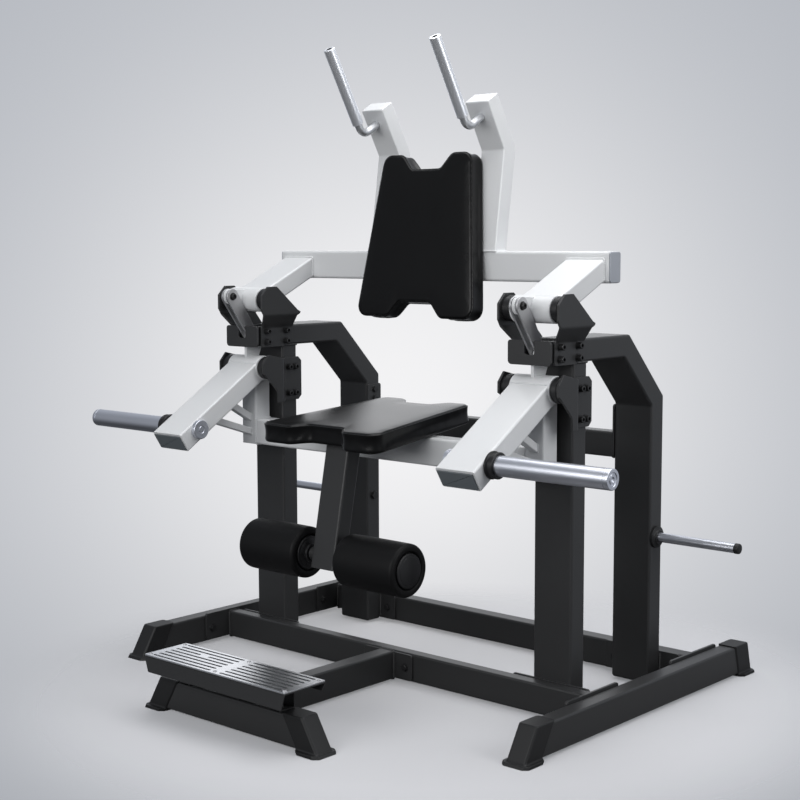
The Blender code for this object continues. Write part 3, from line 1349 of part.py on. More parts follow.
def roller(side, word, axis):
    """A foam roller with rounded ends, a domed cap in each, an inner hub and a bore for the axle."""
    start = ROLLER_START
    end = start + ROLLER_LENGTH
    bore = ROLLER_AXLE_RADIUS + GAP
    hub = start - ROLLER_HUB_LENGTH
    quarter = ROLLER_END_ROUND * (1 - math.sqrt(0.5))
    profile = [
        (end - ROLLER_BORE_WALL, bore),
        (hub, bore),
        (hub, ROLLER_HUB_RADIUS - 2 * BITE),
        (hub + 2 * BITE, ROLLER_HUB_RADIUS),
        (start - ROLLER_CAP_BULGE, ROLLER_HUB_RADIUS),
        (start - ROLLER_CAP_BULGE * ROLLER_CAP_SHOULDER, ROLLER_CAP_RADIUS - ROLLER_CAP_BULGE),
        (start, ROLLER_CAP_RADIUS),
        (start + 2 * BITE, ROLLER_CAP_RADIUS + BITE),
        (start + BITE, ROLLER_CAP_RADIUS + 2 * BITE),
        (start, ROLLER_RADIUS - ROLLER_END_ROUND),
        (start + quarter, ROLLER_RADIUS - quarter),
        (start + ROLLER_END_ROUND, ROLLER_RADIUS),
        (start + ROLLER_LENGTH / 2, ROLLER_RADIUS + ROLLER_BELLY),
        (end - ROLLER_END_ROUND, ROLLER_RADIUS),
        (end - quarter, ROLLER_RADIUS - quarter),
        (end, ROLLER_RADIUS - ROLLER_END_ROUND),
        (end - BITE, ROLLER_CAP_RADIUS + 2 * BITE),
        (end - 2 * BITE, ROLLER_CAP_RADIUS + BITE),
        (end, ROLLER_CAP_RADIUS),
        (end + ROLLER_CAP_BULGE * ROLLER_CAP_SHOULDER, ROLLER_CAP_RADIUS - ROLLER_CAP_BULGE),
        (end + ROLLER_CAP_BULGE, ROLLER_CAP_RADIUS / 2),
    ]
    item = turned("roller_" + word, profile, (0, *axis), "X", side)
    return paint(item, "foam")


def pad_outline(first_half, second_half, length, first_notch, second_notch):
    """A pad seen from its face: two wide ends, each with a shallow notch, and slanted sides."""
    depth = PAD_NOTCH_DEPTH
    corners = [
        (-first_notch, depth),
        (first_notch, depth),
        (first_notch + PAD_NOTCH_SLANT, 0.0),
        (first_half, 0.0),
        (second_half, length),
        (second_notch + PAD_NOTCH_SLANT, length),
        (second_notch, length - depth),
        (-second_notch, length - depth),
        (-second_notch - PAD_NOTCH_SLANT, length),
        (-second_half, length),
        (-first_half, 0.0),
        (-first_notch - PAD_NOTCH_SLANT, 0.0),
    ]
    notch = PAD_NOTCH_ROUND
    lobe = PAD_LOBE_ROUND
    outer = PAD_ROUND
    radii = [notch, notch, lobe, outer, outer, lobe, notch, notch, lobe, outer, outer, lobe]
    return fillet(corners, radii, PAD_SLOPE_STEPS)


def inset(outline, distance):
    """The outline moved inwards by a distance, corner by corner."""
    ahead = np.roll(outline, -1, axis=0) - outline
    behind = outline - np.roll(outline, 1, axis=0)
    ahead /= np.linalg.norm(ahead, axis=1)[:, None]
    behind /= np.linalg.norm(behind, axis=1)[:, None]
    tangent = ahead + behind
    tangent /= np.linalg.norm(tangent, axis=1)[:, None]
    normal = np.stack([-tangent[:, 1], tangent[:, 0]], axis=1)
    return outline + distance * normal


def cushion(name, outline, start, along, normal):
    """A pad with a flat back, drawn-in sides, a stitched channel inside its edge and a crown."""
    thick = PAD_THICKNESS
    seam = PAD_SEAM_INSET
    width = PAD_SEAM_WIDTH
    shoulder = thick - PAD_CROWN
    layers = [
        (PAD_EDGE / 2, 0.0),
        (0.0, PAD_EDGE / 2),
        (PAD_DRAW, shoulder / 2),
        (0.0, shoulder - PAD_EDGE),
        (PAD_EDGE / 3, shoulder - PAD_EDGE / 3),
        (PAD_EDGE, shoulder),
        (seam - width / 2, shoulder + BITE),
        (seam, shoulder + BITE - PAD_SEAM_DEPTH),
        (seam + width / 2, shoulder + BITE),
    ]
    rings = []
    for distance, height in layers:
        rings.append((inset(outline, distance), height))
    inner = inset(outline, seam + 2 * width)
    middle = inner.mean(axis=0)
    rise = thick - shoulder - 2 * BITE
    for scale in CROWN_SCALES:
        rings.append((middle + (inner - middle) * scale, shoulder + 2 * BITE + rise * (1 - scale**2)))
    solid = []
    across = np.array((1.0, 0.0, 0.0))
    for ring, height in rings:
        points = ring[:, :1] * across + ring[:, 1:] * np.array((0.0, *along))
        solid.append(points + height * np.array((0.0, *normal)) + np.array((0.0, *start)))
    return paint(loft(name, solid), "vinyl")


def back_pad():
    """The pad on the front of the uprights."""
    outline = pad_outline(BACK_BOTTOM_HALF, BACK_TOP_HALF, BACK_LENGTH, BACK_BOTTOM_NOTCH, BACK_TOP_NOTCH)
    along = np.array((math.sin(UPRIGHT_LEAN), math.cos(UPRIGHT_LEAN)))
    normal = np.array((-math.cos(UPRIGHT_LEAN), math.sin(UPRIGHT_LEAN)))
    foot = upright_line()[0]
    start = foot - BACK_DROP * along + GAP * normal
    return cushion("back_pad", outline, start, along, normal)


def seat_pad():
    """The pad on the spine, wider in front."""
    outline = pad_outline(SEAT_FRONT_HALF, SEAT_REAR_HALF, SEAT_LENGTH, SEAT_FRONT_NOTCH, SEAT_REAR_NOTCH)
    along = np.array((math.cos(SEAT_TILT), math.sin(SEAT_TILT)))
    normal = np.array((-math.sin(SEAT_TILT), math.cos(SEAT_TILT)))
    start = np.array((SEAT_FRONT_Y, seat_plane(SEAT_FRONT_Y)))
    return cushion("seat_pad", outline, start, along, normal)


def build_base():
    """Everything that stands still."""
    cross_member("front_cross_member", FRONT_MEMBER_FRONT, FRONT_MEMBER_REAR)
    cross_member("rear_cross_member", REAR_MEMBER_FRONT, REAR_MEMBER_REAR)
    step_frame()
    step_feet()
    footplate()
    footplate_tray()
    rear_beam()
    for side, word in SIDES:
        side_rail(side, word)
        rail_feet(side, word)
        front_post(side, word)
        arch(side, word)
        yoke(side, word)
        lower_bracket(side, word, side, "outer")
        lower_bracket(side, word, -side, "inner")
        axle("upper_axle_" + word, side, UPPER_PIVOT_Z)
        axle("lower_axle_" + word, side, LOWER_PIVOT_Z)
        storage_peg(side, word)


def build_upper_frame():
    """What tips forward about the upper axles."""
    marker = empty("upper_pivot", (0, PIVOT_Y, UPPER_PIVOT_Z))
    pieces = [*upper_cross_beam(), back_pad()]
    corner = handle_axis()[1]
    for side, word in SIDES:
        pieces += [upper_arm(side, word), upright(side, word)]
        rod, sleeve = handle(side, word)
        pieces.append(rod)
        hang(sleeve, empty("grip_axis_" + word, (side * UPRIGHT_SPREAD, *corner)))
        hang(link(side, word), empty("link_axis_" + word, (side * POST_SPREAD, *LINK_TOP)))
    for piece in pieces:
        hang(piece, marker)


def build_lower_frame():
    """What swings up about the lower axles."""
    marker = empty("lower_pivot", (0, PIVOT_Y, LOWER_PIVOT_Z))
    post, axis = roller_post()
    pieces = [seat_frame(), seat_pad(), post]
    for side, word in SIDES:
        pieces += [weight_arm(side, word), arm_cap(side, word), *horn(side, word)]
        hang(roller(side, word, axis), empty("roller_axis_" + word, (side * ROLLER_START, *axis)))
    for piece in pieces:
        hang(piece, marker)


def main():
    """Builds the whole machine."""
    clear_scene()
    build_base()
    build_upper_frame()
    build_lower_frame()


main()
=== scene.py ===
"""Dressed model of the plate-loaded crunch machine: its surfaces, finishes, floor, light and camera.

Metres, +Z up, the step towards -Y. Every piece is worked out in the machine's own frame, with its object
at the origin, and rides on the body that carries it.
"""

from __future__ import annotations

import logging
import math
from dataclasses import dataclass
from enum import Enum
from typing import Any, Optional, Sequence, Union

import bmesh
import bpy
import numpy as np
from mathutils import Matrix, Vector


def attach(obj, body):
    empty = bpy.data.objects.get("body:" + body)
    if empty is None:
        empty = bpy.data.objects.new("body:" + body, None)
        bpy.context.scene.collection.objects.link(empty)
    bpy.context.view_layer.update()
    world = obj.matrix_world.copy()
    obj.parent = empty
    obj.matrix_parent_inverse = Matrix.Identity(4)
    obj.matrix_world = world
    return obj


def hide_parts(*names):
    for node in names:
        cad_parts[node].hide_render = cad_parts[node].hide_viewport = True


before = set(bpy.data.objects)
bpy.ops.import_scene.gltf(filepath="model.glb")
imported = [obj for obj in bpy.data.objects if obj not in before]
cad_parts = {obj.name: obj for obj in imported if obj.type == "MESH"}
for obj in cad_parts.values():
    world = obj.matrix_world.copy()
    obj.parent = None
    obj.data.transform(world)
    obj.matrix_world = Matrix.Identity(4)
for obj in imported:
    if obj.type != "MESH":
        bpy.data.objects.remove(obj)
LOG = logging.getLogger("crunch_machine")

Array = np.ndarray
Number = Union[int, float]
X, Y, Z = np.eye(3)

ARC_STEPS = 6
EDGE_STEPS = 3
RING_STEPS = 56
BOLT_STEPS = 28
HEX_STEPS = 36
SHARP_ANGLE = math.radians(32)

SOFT = 0.001
SHEET_SOFT = 0.0008
PLATE_CORNER = 0.008
WELD_LIFT = 0.001


class Side(Enum):
    """The two sides of the machine. The value is the sign of X."""

    LEFT = -1
    RIGHT = 1

    @property
    def word(self) -> str:
        """The side's word in the names of nodes and bodies."""
        return self.name.lower()


class Rides(Enum):
    """The bodies that carry more than one piece."""

    BASE = "base"
    UPPER = "upper_frame"
    LOWER = "lower_frame"


@dataclass(frozen=True)
class Plan:
    """Sizes that several sub-assemblies share."""

    gap: float = 0.0003
    tube_round: float = 0.006
    front_member: tuple[float, float] = (-0.0433, -0.0033)
    rear_member: tuple[float, float] = (0.4393, 0.4893)
    rail_spread: float = 0.701
    rail_width: float = 0.050
    base_lift: float = 0.007
    base_height: float = 0.080
    post_spread: float = 0.527
    post_half: float = 0.060
    post_front: float = 0.003
    post_rear: float = 0.063
    rear_post_front: float = 0.371
    rear_post_rear: float = 0.431
    arch_top: float = 0.9785
    arch_under: float = 0.9185
    pivot_y: float = -0.071
    upper_z: float = 1.055
    lower_z: float = 0.856
    sleeve_radius: float = 0.035
    sleeve_half: float = 0.062
    ear_inner: float = 0.089
    ear_sheet: float = 0.0066
    link_top: tuple[float, float] = (-0.148, 1.066)
    link_foot: tuple[float, float] = (-0.063, 0.940)
    hanger_front: float = -0.080
    hanger_rear: float = -0.020
    seat_beam_top: float = 0.703
    seat_beam_bottom: float = 0.627
    upper_beam_front: float = 0.136
    upper_beam_rear: float = 0.186
    upper_beam_middle: float = 1.156
    upper_beam_height: float = 0.082
    seat_tilt: float = math.radians(4.9)

    @property
    def base_middle(self) -> float:
        """Height of the floor tubes' middle."""
        return self.base_lift + self.base_height / 2

    @property
    def base_top(self) -> float:
        """Height of the floor tubes' top."""
        return self.base_lift + self.base_height


@dataclass(frozen=True)
class Basis:
    """A place and three directions: u and v span an outline, and w runs along the piece."""

    origin: Array
    u: Array
    v: Array
    w: Array

    def lift(self, outline: Array, along: Union[Array, float]) -> Array:
        """Points origin + u * outline[0] + v * outline[1] + w * along.

        Args:
            outline: pairs in the outline's plane, the last axis of length 2.
            along: one distance, or one for each pair.

        Returns:
            The points, with the last axis of length 3.
        """
        along = np.broadcast_to(along, outline.shape[:-1])[..., None]
        return self.origin + outline[..., :1] * self.u + outline[..., 1:] * self.v + along * self.w


def along_x(x: float = 0.0, y: float = 0.0, z: float = 0.0, sense: int = 1) -> Basis:
    """A basis whose outline is (y, z) and whose length runs along X, or back along it."""
    return Basis(np.array((x, y, z)), Y, Z, sense * X)


def along_y(x: float = 0.0, y: float = 0.0, z: float = 0.0, sense: int = 1) -> Basis:
    """A basis whose outline is (x, z) and whose length runs along Y, or back along it."""
    return Basis(np.array((x, y, z)), X, Z, sense * Y)


def along_z(x: float = 0.0, y: float = 0.0, z: float = 0.0) -> Basis:
    """A basis whose outline is (x, y) and whose length runs along Z."""
    return Basis(np.array((x, y, z)), X, Y, Z)


def leaning(x: float, start: Sequence[float], way: Sequence[float]) -> Basis:
    """A basis that runs along a (y, z) direction, with u along X and v square to the way, on its left.

    Args:
        x: the middle in X.
        start: (y, z) of the origin.
        way: (y, z) direction of the length.

    Returns:
        The basis.
    """
    along = np.array((0.0, *way)) / np.hypot(*way)
    return Basis(np.array((x, *start)), X, np.cross(X, along), along)


def unit(vectors: Array) -> Array:
    """The vectors, each divided by its own length."""
    return vectors / np.linalg.norm(vectors, axis=-1, keepdims=True)


def rounded(corners: Any, radii: Any, steps: int = ARC_STEPS, closed: bool = True) -> Array:
    """An outline whose corners are arcs.

    With b and a the unit edges at a corner and h half their angle, the arc's centre is the corner plus
    the bisector times r / sin h, and its points are the slerp between the two tangent points. A radius
    is limited by half of the shorter edge beside it.

    Args:
        corners: (n, 2) corner points in order.
        radii: one radius, or one for each corner.
        steps: spans of each arc.
        closed: False keeps both end points of an open line.

    Returns:
        The points of the outline.
    """
    corners = np.asarray(corners, float)
    middle = corners if closed else corners[1:-1]
    before = (np.roll(corners, 1, 0) if closed else corners[:-2]) - middle
    after = (np.roll(corners, -1, 0) if closed else corners[2:]) - middle
    reach = 0.499 * np.minimum(np.linalg.norm(before, axis=1), np.linalg.norm(after, axis=1))
    before, after = unit(before), unit(after)
    half = np.arccos(np.clip((before * after).sum(1), -0.99999, 1.0)) / 2
    setback = np.minimum(np.broadcast_to(radii, len(middle)) / np.tan(half), reach)
    radius = setback * np.tan(half)
    centre = middle + unit(before + after) * (radius / np.sin(half))[:, None]
    first = middle + before * setback[:, None] - centre
    last = middle + after * setback[:, None] - centre
    sweep = (math.pi - 2 * half)[:, None]
    share = np.linspace(0.0, 1.0, steps + 1)[None, :]
    weight_first = (np.sin((1 - share) * sweep) / np.sin(sweep))[..., None]
    weight_last = (np.sin(share * sweep) / np.sin(sweep))[..., None]
    arcs = centre[:, None] + weight_first * first[:, None] + weight_last * last[:, None]
    line = arcs.reshape(-1, 2)
    return line if closed else np.concatenate([corners[:1], line, corners[-1:]])


def box_loop(low_u: float, high_u: float, low_v: float, high_v: float, radius: float) -> Array:
    """A rounded rectangle between two pairs of limits, anticlockwise."""
    corners = [(low_u, low_v), (high_u, low_v), (high_u, high_v), (low_u, high_v)]
    return rounded(corners, radius)


def centred(width: float, height: float, radius: float) -> Array:
    """A rounded rectangle about the origin."""
    return box_loop(-width / 2, width / 2, -height / 2, height / 2, radius)


def circle(steps: int) -> Array:
    """Points round the unit circle, evenly spaced from (1, 0)."""
    angle = np.arange(steps) * 2 * math.pi / steps
    return np.stack([np.cos(angle), np.sin(angle)], axis=1)


def quarter(end: float, rim: float, soft: float, points: int, sense: int = 1) -> list[tuple[float, float]]:
    """A profile's points over a rounded rim.

    They are (e - s (1 - sin a), r - s (1 - cos a)), for a from 0 to 90 degrees.

    Args:
        end: distance of the end face along the axis.
        rim: the full radius.
        soft: radius of the round.
        points: how many points.
        sense: 1 runs from the rim to an end face ahead of it, -1 from an end face behind up to the rim.

    Returns:
        The pairs of (distance, radius) in order.
    """
    turn = np.linspace(0.0, math.pi / 2, points)
    found = [(end - sense * soft * (1 - math.sin(a)), rim - soft * (1 - math.cos(a))) for a in turn]
    return found[::sense]


def mirrored(half: list[tuple[float, float]]) -> list[tuple[float, float]]:
    """The whole profile of a piece that is alike at both ends, from its half, which starts at the end."""
    return [(-along, radius) for along, radius in half] + half[::-1]


def run_along(line: Array) -> Array:
    """Length along an open line at each of its points, from 0."""
    return np.concatenate([[0.0], np.cumsum(np.linalg.norm(np.diff(line, axis=0), axis=1))])


def at_lengths(line: Array, length: Array) -> Array:
    """The points of an open line at the given lengths along it."""
    run = run_along(line)
    return np.stack([np.interp(length, run, line[:, axis]) for axis in range(line.shape[1])], axis=1)


def disc_hull(discs: Sequence[tuple[Sequence[float], float]], steps: int = 96) -> Array:
    """The convex outline round several discs.

    For each direction n it takes the disc with the largest c . n + r, and the point c + r n of it.

    Args:
        discs: (centre, radius) pairs.
        steps: directions tried.

    Returns:
        The points of the outline.
    """
    ways = circle(steps)
    centres = np.array([centre for centre, radius in discs], float)
    radii = np.array([radius for centre, radius in discs], float)
    best = np.argmax(ways @ centres.T + radii, axis=1)
    return centres[best] + radii[best][:, None] * ways


def shrunk(loop: Array, distance: Union[float, Array]) -> Array:
    """The closed outline moved inwards: each point goes along the mean of its edges' normals, mitred."""
    ahead = unit(np.roll(loop, -1, 0) - loop)
    behind = unit(loop - np.roll(loop, 1, 0))
    normals = np.stack([-(ahead + behind)[:, 1], (ahead + behind)[:, 0]], axis=1)
    mitre = 2 / np.maximum((normals**2).sum(1, keepdims=True), 0.5)
    return loop + distance * normals * mitre


class Form:
    """Closed surfaces gathered into one mesh."""

    def __init__(self) -> None:
        """Starts with no surface."""
        self.points: list[Array] = []
        self.faces: list[tuple[int, ...]] = []
        self.total = 0

    def grid(self, points: Array, ring: bool = False) -> Form:
        """Adds a grid of rings. Quad (i, j) joins points (i, j), (i, j + 1), (i + 1, j + 1), (i + 1, j).

        Args:
            points: (rings, columns, 3), where the columns close on themselves.
            ring: True where the last ring meets the first, which leaves out the flat ends.

        Returns:
            This form.
        """
        rings, columns = points.shape[:2]
        row, column = np.meshgrid(np.arange(rings if ring else rings - 1), np.arange(columns), indexing="ij")
        beside, here, below = (column + 1) % columns, row * columns, (row + 1) % rings * columns
        corners = (here + column, here + beside, below + beside, below + column)
        quads = np.stack(corners, axis=-1).reshape(-1, 4) + self.total
        self.faces += list(map(tuple, quads.tolist()))
        if not ring:
            end = self.total + (rings - 1) * columns
            self.faces.append(tuple(range(self.total + columns - 1, self.total - 1, -1)))
            self.faces.append(tuple(range(end, end + columns)))
        self.points.append(points.reshape(-1, 3))
        self.total += rings * columns
        return self

    def slab(self, basis: Basis, loop: Array, low: float, high: float, edge: float = 0.0012,
             lean: tuple[float, float] = (0.0, 0.0)) -> Form:
        """An outline carried along w, with a quarter round of the given radius at both ends.

        Ring k lies e (1 - cos a) inside the end and is drawn in by e (1 - sin a), for a from 0 to 90 degrees.

        Args:
            basis: where the outline lies.
            loop: the outline.
            low: where it starts along w.
            high: where it ends.
            edge: radius of both rims.
            lean: how far each end moves along w for each unit of v, which cuts it on a slant.

        Returns:
            This form.
        """
        angle = np.linspace(0.0, math.pi / 2, EDGE_STEPS + 1)
        rise, draw = edge * (1 - np.cos(angle)), edge * (1 - np.sin(angle))
        first, last = low + lean[0] * loop[:, 1], high + lean[1] * loop[:, 1]
        rings = [basis.lift(shrunk(loop, d), first + r) for r, d in zip(rise, draw)]
        rings += [basis.lift(shrunk(loop, d), last - r) for r, d in zip(rise[::-1], draw[::-1])]
        return self.grid(np.stack(rings))

    def lathe(self, basis: Basis, profile: Any, steps: int = RING_STEPS, ring: bool = False) -> Form:
        """A profile of (distance along w, radius) turned about w: point (d, r) goes to r cos t, r sin t, d.

        Args:
            basis: its w is the axis.
            profile: the pairs in order.
            steps: points round the axis.
            ring: True where the profile closes on itself, as round a bore.

        Returns:
            This form.
        """
        profile = np.asarray(profile, float)
        outline = profile[:, None, 1:] * circle(steps)[None]
        return self.grid(basis.lift(outline, np.broadcast_to(profile[:, :1], outline.shape[:-1])), ring)

    def sweep(self, path: Array, flat: Array, loop: Array, ring: bool = False) -> Form:
        """An outline carried along a path that lies in a plane.

        At each point the outline's u runs along flat x tangent and its v along flat, the plane's normal.

        Args:
            path: (n, 3) points.
            flat: the plane's normal.
            loop: the outline, or one for each point of the path.
            ring: True where the path closes on itself.

        Returns:
            This form.
        """
        ways = np.roll(path, -1, 0) - np.roll(path, 1, 0) if ring else np.gradient(path, axis=0)
        side = unit(np.cross(flat, unit(ways)))
        loop = np.broadcast_to(loop, (len(path), *loop.shape[-2:]))
        points = path[:, None] + loop[..., :1] * side[:, None] + loop[..., 1:] * np.asarray(flat)
        return self.grid(points, ring)

    def ribbon(self, path: Array, across: Array, low: Array, high: Array, sheet: float,
               edge: float = 0.0012) -> Form:
        """A bent plate: at each point of a bent line it runs from low to high along one direction.

        Args:
            path: (n, 3) points of the plate's middle, square to across.
            across: the direction that stays straight.
            low: where the plate starts along it, at each point.
            high: where it ends.
            sheet: the plate's thickness.
            edge: radius of the rims beside the bent line.

        Returns:
            This form.
        """
        normal = unit(np.cross(unit(np.gradient(path, axis=0)), across))
        arc = np.linspace(0.0, math.pi / 2, EDGE_STEPS + 1)
        turn = (arc + np.arange(4)[:, None] * math.pi / 2).ravel()
        corner = math.pi / 4 + np.repeat(np.arange(4), EDGE_STEPS + 1) * math.pi / 2
        side, face = np.sign(np.cos(corner)), np.sign(np.sin(corner))
        limit = np.where(side > 0, high[:, None], low[:, None]) - side * edge
        reach = limit + edge * np.cos(turn)
        rise = face * (sheet / 2 - edge) + edge * np.sin(turn)
        points = path[:, None] + reach[..., None] * across + rise[None, :, None] * normal[:, None]
        return self.grid(points)

    def hexagon(self, basis: Basis, radius: float, height: float) -> Form:
        """A bolt's six-sided head on a washer, cut by a cone at the top.

        The outline is r / cos(t' - 30 degrees), with t' the angle within its side.

        Args:
            basis: stands on the face, with w outwards.
            radius: half of the width across flats.
            height: of the head.

        Returns:
            This form.
        """
        thick, rim = height * 0.18, radius * 1.35
        washer = [(-thick, rim), (thick * 0.7, rim), (thick, rim * 0.97), (thick, radius * 0.5)]
        self.lathe(basis, washer, BOLT_STEPS)
        levels = np.array((thick * 0.5, height * 0.86, height * 0.93, height))
        cone = radius * np.array((2.0, 1.16, 1.08, 0.94))
        return self.turned(basis, levels, np.minimum(six_sided(radius)[None], cone[:, None]))

    def socket(self, basis: Basis, radius: float, height: float) -> Form:
        """A round cap screw with a rounded rim and a six-sided hole in its end."""
        rim = radius * 0.16
        self.lathe(basis, [(-rim, radius * 1.3), (rim, radius * 1.3), (rim, radius * 0.5)], BOLT_STEPS)
        levels = np.array((rim * 0.5, height - rim, height - rim * 0.3, height, height, height * 0.55))
        round_part = radius * np.array((1.0, 1.0, 0.95, 0.86))[:, None] * np.ones(HEX_STEPS)
        hole = np.tile(six_sided(radius * 0.5), (2, 1))
        return self.turned(basis, levels, np.concatenate([round_part, hole]))

    def turned(self, basis: Basis, levels: Array, reach: Array) -> Form:
        """Rings round w: reach holds a radius for each level and direction."""
        outline = reach[..., None] * circle(reach.shape[1])[None]
        return self.grid(basis.lift(outline, levels[:, None]))

    def weld(self, basis: Basis, loop: Array, level: float, size: float, pitch: float = 0.005) -> Form:
        """A bead along an outline: a round of radius s (1 + 0.14 cos(2 pi l / p)) at length l along it.

        Args:
            basis: where the outline lies.
            loop: the closed outline that the bead follows.
            level: how far along w it lies.
            size: the bead's radius.
            pitch: length of one ripple.

        Returns:
            This form.
        """
        closed = np.concatenate([loop, loop[:1]])
        whole = run_along(closed)[-1]
        count = 3 * int(whole / pitch)
        line = at_lengths(closed, np.arange(count) * whole / count)
        size_here = size * (1 + 0.14 * np.cos(2 * math.pi * np.arange(count) / 3))
        ring = circle(8)[None] * size_here[:, None, None]
        return self.sweep(basis.lift(line, level), basis.w, ring, ring=True)

    def mesh(self, name: str) -> bpy.types.Mesh:
        """The gathered surfaces as one mesh whose faces point outwards."""
        mesh = bpy.data.meshes.new(name)
        mesh.from_pydata(np.concatenate(self.points).tolist(), [], self.faces)
        shell = bmesh.new()
        shell.from_mesh(mesh)
        bmesh.ops.recalc_face_normals(shell, faces=shell.faces)
        shell.to_mesh(mesh)
        shell.free()
        return mesh


def six_sided(radius: float) -> Array:
    """Reach of a hexagon in each of HEX_STEPS directions, from half its width across flats."""
    angle = np.arange(HEX_STEPS) * 2 * math.pi / HEX_STEPS
    return radius / np.cos(np.mod(angle, math.pi / 3) - math.pi / 6)


def added(name: str, data: Any) -> bpy.types.Object:
    """A new object in the scene that holds the data."""
    found = bpy.data.objects.new(name, data)
    bpy.context.scene.collection.objects.link(found)
    return found


def modifier(piece: bpy.types.Object, kind: str, **settings: Any) -> bpy.types.Modifier:
    """Adds a modifier with the given settings."""
    found = piece.modifiers.new(kind.lower(), kind)
    for name, value in settings.items():
        setattr(found, name, value)
    return found


def applied(piece: bpy.types.Object) -> bpy.types.Object:
    """Turns the piece's modifiers into its mesh."""
    graph = bpy.context.evaluated_depsgraph_get()
    graph.update()
    mesh = bpy.data.meshes.new_from_object(piece.evaluated_get(graph))
    piece.modifiers.clear()
    piece.data = mesh
    return piece


def carve(form: Form, cutter: Form) -> bpy.types.Mesh:
    """The first form with the second taken out of it."""
    body, tool = added("blank", form.mesh("blank")), added("tool", cutter.mesh("tool"))
    modifier(body, "BOOLEAN", operation="DIFFERENCE", solver="EXACT", object=tool)
    mesh = applied(body).data
    for item in (body, tool):
        bpy.data.objects.remove(item)
    return mesh


class Wire:
    """A node's output. Arithmetic on it adds a maths node to the same tree."""

    def __init__(self, graph: Graph, socket: bpy.types.NodeSocket) -> None:
        """Holds an output socket of the graph."""
        self.graph = graph
        self.socket = socket

    def __add__(self, other: Any) -> Wire:
        """This plus the other."""
        return self.graph.maths("ADD", self, other)

    def __sub__(self, other: Any) -> Wire:
        """This minus the other."""
        return self.graph.maths("SUBTRACT", self, other)

    def __rsub__(self, other: Any) -> Wire:
        """The other minus this."""
        return self.graph.maths("SUBTRACT", other, self)

    def __mul__(self, other: Any) -> Wire:
        """This times the other."""
        return self.graph.maths("MULTIPLY", self, other)

    def __truediv__(self, other: Any) -> Wire:
        """This divided by the other."""
        return self.graph.maths("DIVIDE", self, other)

    __radd__ = __add__
    __rmul__ = __mul__

    def between(self, low: Number, high: Number) -> Wire:
        """A smooth step that is 0 at low and 1 at high."""
        inputs = {"Value": self, "From Min": low, "From Max": high}
        return self.graph.add("ShaderNodeMapRange", {"interpolation_type": "SMOOTHSTEP"}, inputs)


class Graph:
    """A node tree that is filled by expressions."""

    def __init__(self, tree: bpy.types.NodeTree) -> None:
        """Empties the tree."""
        self.tree = tree
        tree.nodes.clear()

    def add(self, kind: str, settings: Optional[dict[str, Any]] = None,
            inputs: Optional[dict[Any, Any]] = None, output: Any = 0) -> Wire:
        """Adds a node, sets its settings first, then its inputs by name or number.

        Args:
            kind: the node's type.
            settings: attributes of the node.
            inputs: a wire to link, or a value, for each named or numbered input.
            output: which output is returned.

        Returns:
            The output.
        """
        node = self.tree.nodes.new(kind)
        for name, value in (settings or {}).items():
            setattr(node, name, value)
        for key, value in (inputs or {}).items():
            if isinstance(value, Wire):
                self.tree.links.new(value.socket, node.inputs[key])
            else:
                node.inputs[key].default_value = value
        return Wire(self, node.outputs[output] if node.outputs else None)

    def maths(self, operation: str, *values: Any) -> Wire:
        """One maths node over the given values, in order."""
        return self.add("ShaderNodeMath", {"operation": operation}, dict(enumerate(values)))

    def vector_maths(self, operation: str, first: Any, second: Any) -> Wire:
        """The number that a vector maths node gives for two vectors."""
        return self.add("ShaderNodeVectorMath", {"operation": operation}, {0: first, 1: second}, "Value")

    def place(self, scale: Sequence[float] = (1.0, 1.0, 1.0)) -> Wire:
        """Object coordinates in metres, scaled."""
        coordinates = self.add("ShaderNodeTexCoord", output="Object")
        return self.add("ShaderNodeMapping", None, {"Vector": coordinates, "Scale": scale})

    def noise(self, at: Wire, scale: float, detail: float = 2.0, roughness: float = 0.5) -> Wire:
        """Cloudy noise about 0.5, with the given number of cells in a metre."""
        inputs = {"Vector": at, "Scale": scale, "Detail": detail, "Roughness": roughness}
        return self.add("ShaderNodeTexNoise", None, inputs, "Fac")

    def cells(self, at: Wire, scale: float, feature: str = "F1") -> Wire:
        """Distance within rounded cells, with the given number of cells in a metre."""
        inputs = {"Vector": at, "Scale": scale}
        return self.add("ShaderNodeTexVoronoi", {"feature": feature}, inputs, "Distance")

    def mix(self, mask: Any, first: Any, second: Any) -> Wire:
        """The first colour where the mask is 0, the second where it is 1."""
        inputs = {0: mask, 6: first, 7: second}
        return self.add("ShaderNodeMix", {"data_type": "RGBA"}, inputs, 2)

    def bump(self, height: Wire, distance: float) -> Wire:
        """A normal from a height between 0 and 1 that stands for the distance."""
        return self.add("ShaderNodeBump", None, {"Height": height, "Distance": distance, "Strength": 1.0})


Colour = tuple[float, float, float]


def opaque(colour: Sequence[float], factor: float = 1.0) -> tuple[float, float, float, float]:
    """The colour times a factor, with full alpha."""
    red, green, blue = (factor * channel for channel in colour)
    return (red, green, blue, 1.0)


